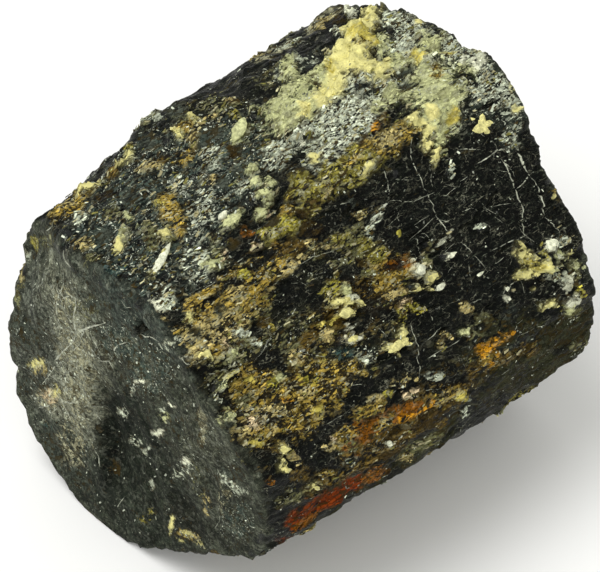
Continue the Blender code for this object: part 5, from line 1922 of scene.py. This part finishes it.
# Threads on the near end, in the same form, with y and z from the axis
END_THREADS = (
    (0.16, (-5.8, 18.8), (-6.6, 18.8), (-8.1, 19.8), (-9.7, 20.2)),
    (0.16, (6.7, 9.3), (4.9, 11.4), (3.3, 13.1), (1.2, 15.3)),
    (0.12, (11.5, 14.5), (10.6, 13.3), (10.8, 11.4), (10.6, 9.4)),
    (0.10, (9.8, 16.1), (10.3, 13.9), (9.5, 13.2), (9.2, 11.3)),
    (0.14, (7.1, 15.7), (7.5, 12.5), (7.1, 10.5), (6.7, 9.3)),
    (0.10, (4.3, 11.1), (3.7, 10.1), (2.8, 9.5), (1.8, 8.7)),
    (0.10, (-0.2, 10.9), (-1.5, 13.4), (-2.7, 14.7), (-3.5, 15.2)),
    (0.12, (10.5, 6.6), (8.7, 7.3), (6.7, 9.3)),
    (0.12, (7.4, 8.3), (8.5, 5.4), (9.8, 3.2), (12.3, -0.9)),
    (0.15, (11.8, -7.4), (10.4, -7.4), (9.9, -8.7), (9.4, -9.9), (8.8, -11.2)),
    (0.14, (11.2, -8.1), (7.9, -5.3)),
    (0.10, (13.0, -10.0), (16.3, -13.7)),
    (0.12, (11.6, -9.4), (12.6, -11.2), (12.9, -13.1)),
    (0.08, (9.6, 22.2), (9.4, 20.2), (7.6, 20.1)),
    (0.08, (-2.0, 22.1), (-3.0, 21.5), (-4.1, 22.3)),
    (0.08, (12.6, -3.6), (11.0, -4.3), (12.0, -7.1)),
    (0.08, (6.6, 6.8), (5.7, 4.9), (6.0, 2.9)),
    (0.08, (4.6, 7.7), (2.8, 7.1), (0.9, 8.1), (-0.0, 7.0)),
    (0.08, (4.8, -4.8), (4.4, -6.7), (4.1, -7.8)),
    (0.08, (-0.2, -20.3), (-1.1, -18.1), (-1.5, -16.9)),
    (0.08, (-18.5, -9.8), (-19.5, -7.4), (-19.6, -5.9)),
    (0.08, (10.2, 12.8), (8.4, 14.7), (6.5, 15.6)),
    (0.08, (4.3, -12.0), (3.9, -12.7), (2.9, -14.5)),
    (0.08, (15.1, -7.7), (13.2, -4.7), (11.8, -1.3)),
    (0.08, (8.9, 10.4), (7.7, 10.6), (6.7, 11.9)),
    (0.08, (5.4, 10.7), (6.4, 7.7), (8.1, 4.4)),
)
SHORT_VEINS = 80
# Where they are: clock angles, x, turn from lengthwise in degrees, and share of their number
SHORT_VEIN_AREAS = (
    (18, 70, -28, 10, 8, 0.45),
    (20, 70, 4, 29, 70, 0.25),
    (60, 90, -26, 20, 4, 0.15),
    (-40, 20, -28, 0, 30, 0.15),
    (125, 285, -26, 25, 75, 0.35),
)
VEIN_SEED = 71
VEIN_STEP = 0.16
VEIN_HEIGHT = 0.035
VEIN_DEPTH = 0.12
VEIN_COLOUR = np.array((0.46, 0.48, 0.37))
VEIN_SHADES = (0.6, 1.2)
VEIN_REACH = 0.25
# Where the vein breaks off: its mean width, the noise added to it, and its least and most
VEIN_FILL = 0.6
VEIN_BREAKS = ((1.2, 0.9, 74), (0.4, 0.5, 75))
VEIN_WIDTHS = (0.04, 1.5)
VEIN_TAPER = 4
SHORT_VEIN_LENGTHS = (1.0, 5.5)
SHORT_VEIN_HALF_WIDTHS = (0.02, 0.05)
SHORT_VEIN_TURN = 14
ARC_PER_DEGREE = math.radians(MEAN_RADIUS)
VEIN_WAVER = ((2.2, 0.05), (0.6, 0.04))


def vein_line(corners, dice):
    """Evenly spaced places along a broken line, each pushed about by noise."""
    lengths = np.hypot(*np.diff(corners, axis=0).T)
    travelled = np.concatenate(((0,), np.cumsum(lengths)))
    stops = np.linspace(0, travelled[-1], max(4, int(travelled[-1] / VEIN_STEP)))
    line = np.stack([np.interp(stops, travelled, corners[:, n]) for n in range(2)], -1)
    flat = np.concatenate((line, np.full((len(line), 1), dice.uniform(0, 50))), -1)
    for size, push in VEIN_WAVER:
        line[:, 0] += push * lattice_noise(flat, size, 72)
        line[:, 1] += push * lattice_noise(flat, size, 73)
    return line


def vein_lines():
    """All the lines: the named ones and short ones scattered over each area."""
    dice = np.random.default_rng(VEIN_SEED)
    lines = []
    for half_width, *places in VEINS:
        lines.append((half_width, vein_line(np.array(places) * (1, ARC_PER_DEGREE), dice)))
    for first, last, start, end, turn, share in SHORT_VEIN_AREAS:
        for _ in range(int(SHORT_VEINS * share)):
            clock, x = dice.uniform(first, last), dice.uniform(start, end)
            length = dice.uniform(*SHORT_VEIN_LENGTHS)
            angle = math.radians(turn + dice.normal(0, SHORT_VEIN_TURN)) * dice.choice((-1, 1))
            away = np.array((math.cos(angle), math.sin(angle)))
            middle = np.array((x, clock * ARC_PER_DEGREE))
            places = np.array([middle + away * length * part for part in (-0.5, 0, 0.5)])
            lines.append((dice.uniform(*SHORT_VEIN_HALF_WIDTHS), vein_line(places, dice)))
    return lines


def thread_lines():
    """The threads of the near end, evenly spaced places along each."""
    dice = np.random.default_rng(VEIN_SEED + 2)
    return [(half_width, vein_line(np.array(places), dice)) for half_width, *places in END_THREADS]


def white_veins():
    """Ribbons with a flat diamond section: points at left, top, right and bottom of each stop."""
    dice = np.random.default_rng(VEIN_SEED + 1)
    lines, end_lines = vein_lines(), thread_lines()
    every = np.concatenate([line for _, line in lines])
    on_end = np.concatenate([line for _, line in end_lines])
    side = side_frame(every[:, 1] / ARC_PER_DEGREE, every[:, 0], VEIN_REACH)
    end = near_frame(on_end[:, 0], on_end[:, 1], VEIN_REACH)
    places, frames = (np.concatenate(pair) for pair in zip(side, end))
    points, faces, count = [], [], 0
    for half_width, line in lines + end_lines:
        here, directions = places[count:count + len(line)], frames[count:count + len(line)]
        forward = unit(np.gradient(here, axis=0))
        across = unit(np.cross(directions[:, 2], forward))
        flat = np.concatenate((line, np.zeros((len(line), 1))), -1)
        patchy = noise_sum(flat, VEIN_BREAKS, VEIN_FILL)
        order = np.arange(len(line))
        taper = np.clip(np.minimum(order, order[::-1]) / VEIN_TAPER, 0, 1)
        width = (half_width * np.clip(patchy, *VEIN_WIDTHS) * taper)[:, None]
        side, rise = across * width, directions[:, 2]
        top = here + rise * np.minimum(width, VEIN_HEIGHT)
        ring = np.stack((here + side, top, here - side, here - rise * VEIN_DEPTH), 1)
        index = count * 4 + np.arange(len(line) * 4).reshape(-1, 4)
        ahead = np.roll(index, -1, axis=1)
        faces.append(np.stack((index[:-1], index[1:], ahead[1:], ahead[:-1]), -1).reshape(-1, 4))
        faces.append(np.stack((index[0, ::-1], index[-1])))
        points.append(ring.reshape(-1, 3))
        count += len(line)
    mesh = bpy.data.meshes.new("white_veins")
    mesh.from_pydata(inside_box(np.concatenate(points)).tolist(), [], np.concatenate(faces).tolist())
    coloured(mesh, "mineral", VEIN_COLOUR * dice.uniform(*VEIN_SHADES, (count * 4, 1)))
    return mesh


grown_on("white_veins", white_veins(), grain_finish("vein_quartz", 0.45, 0.3))
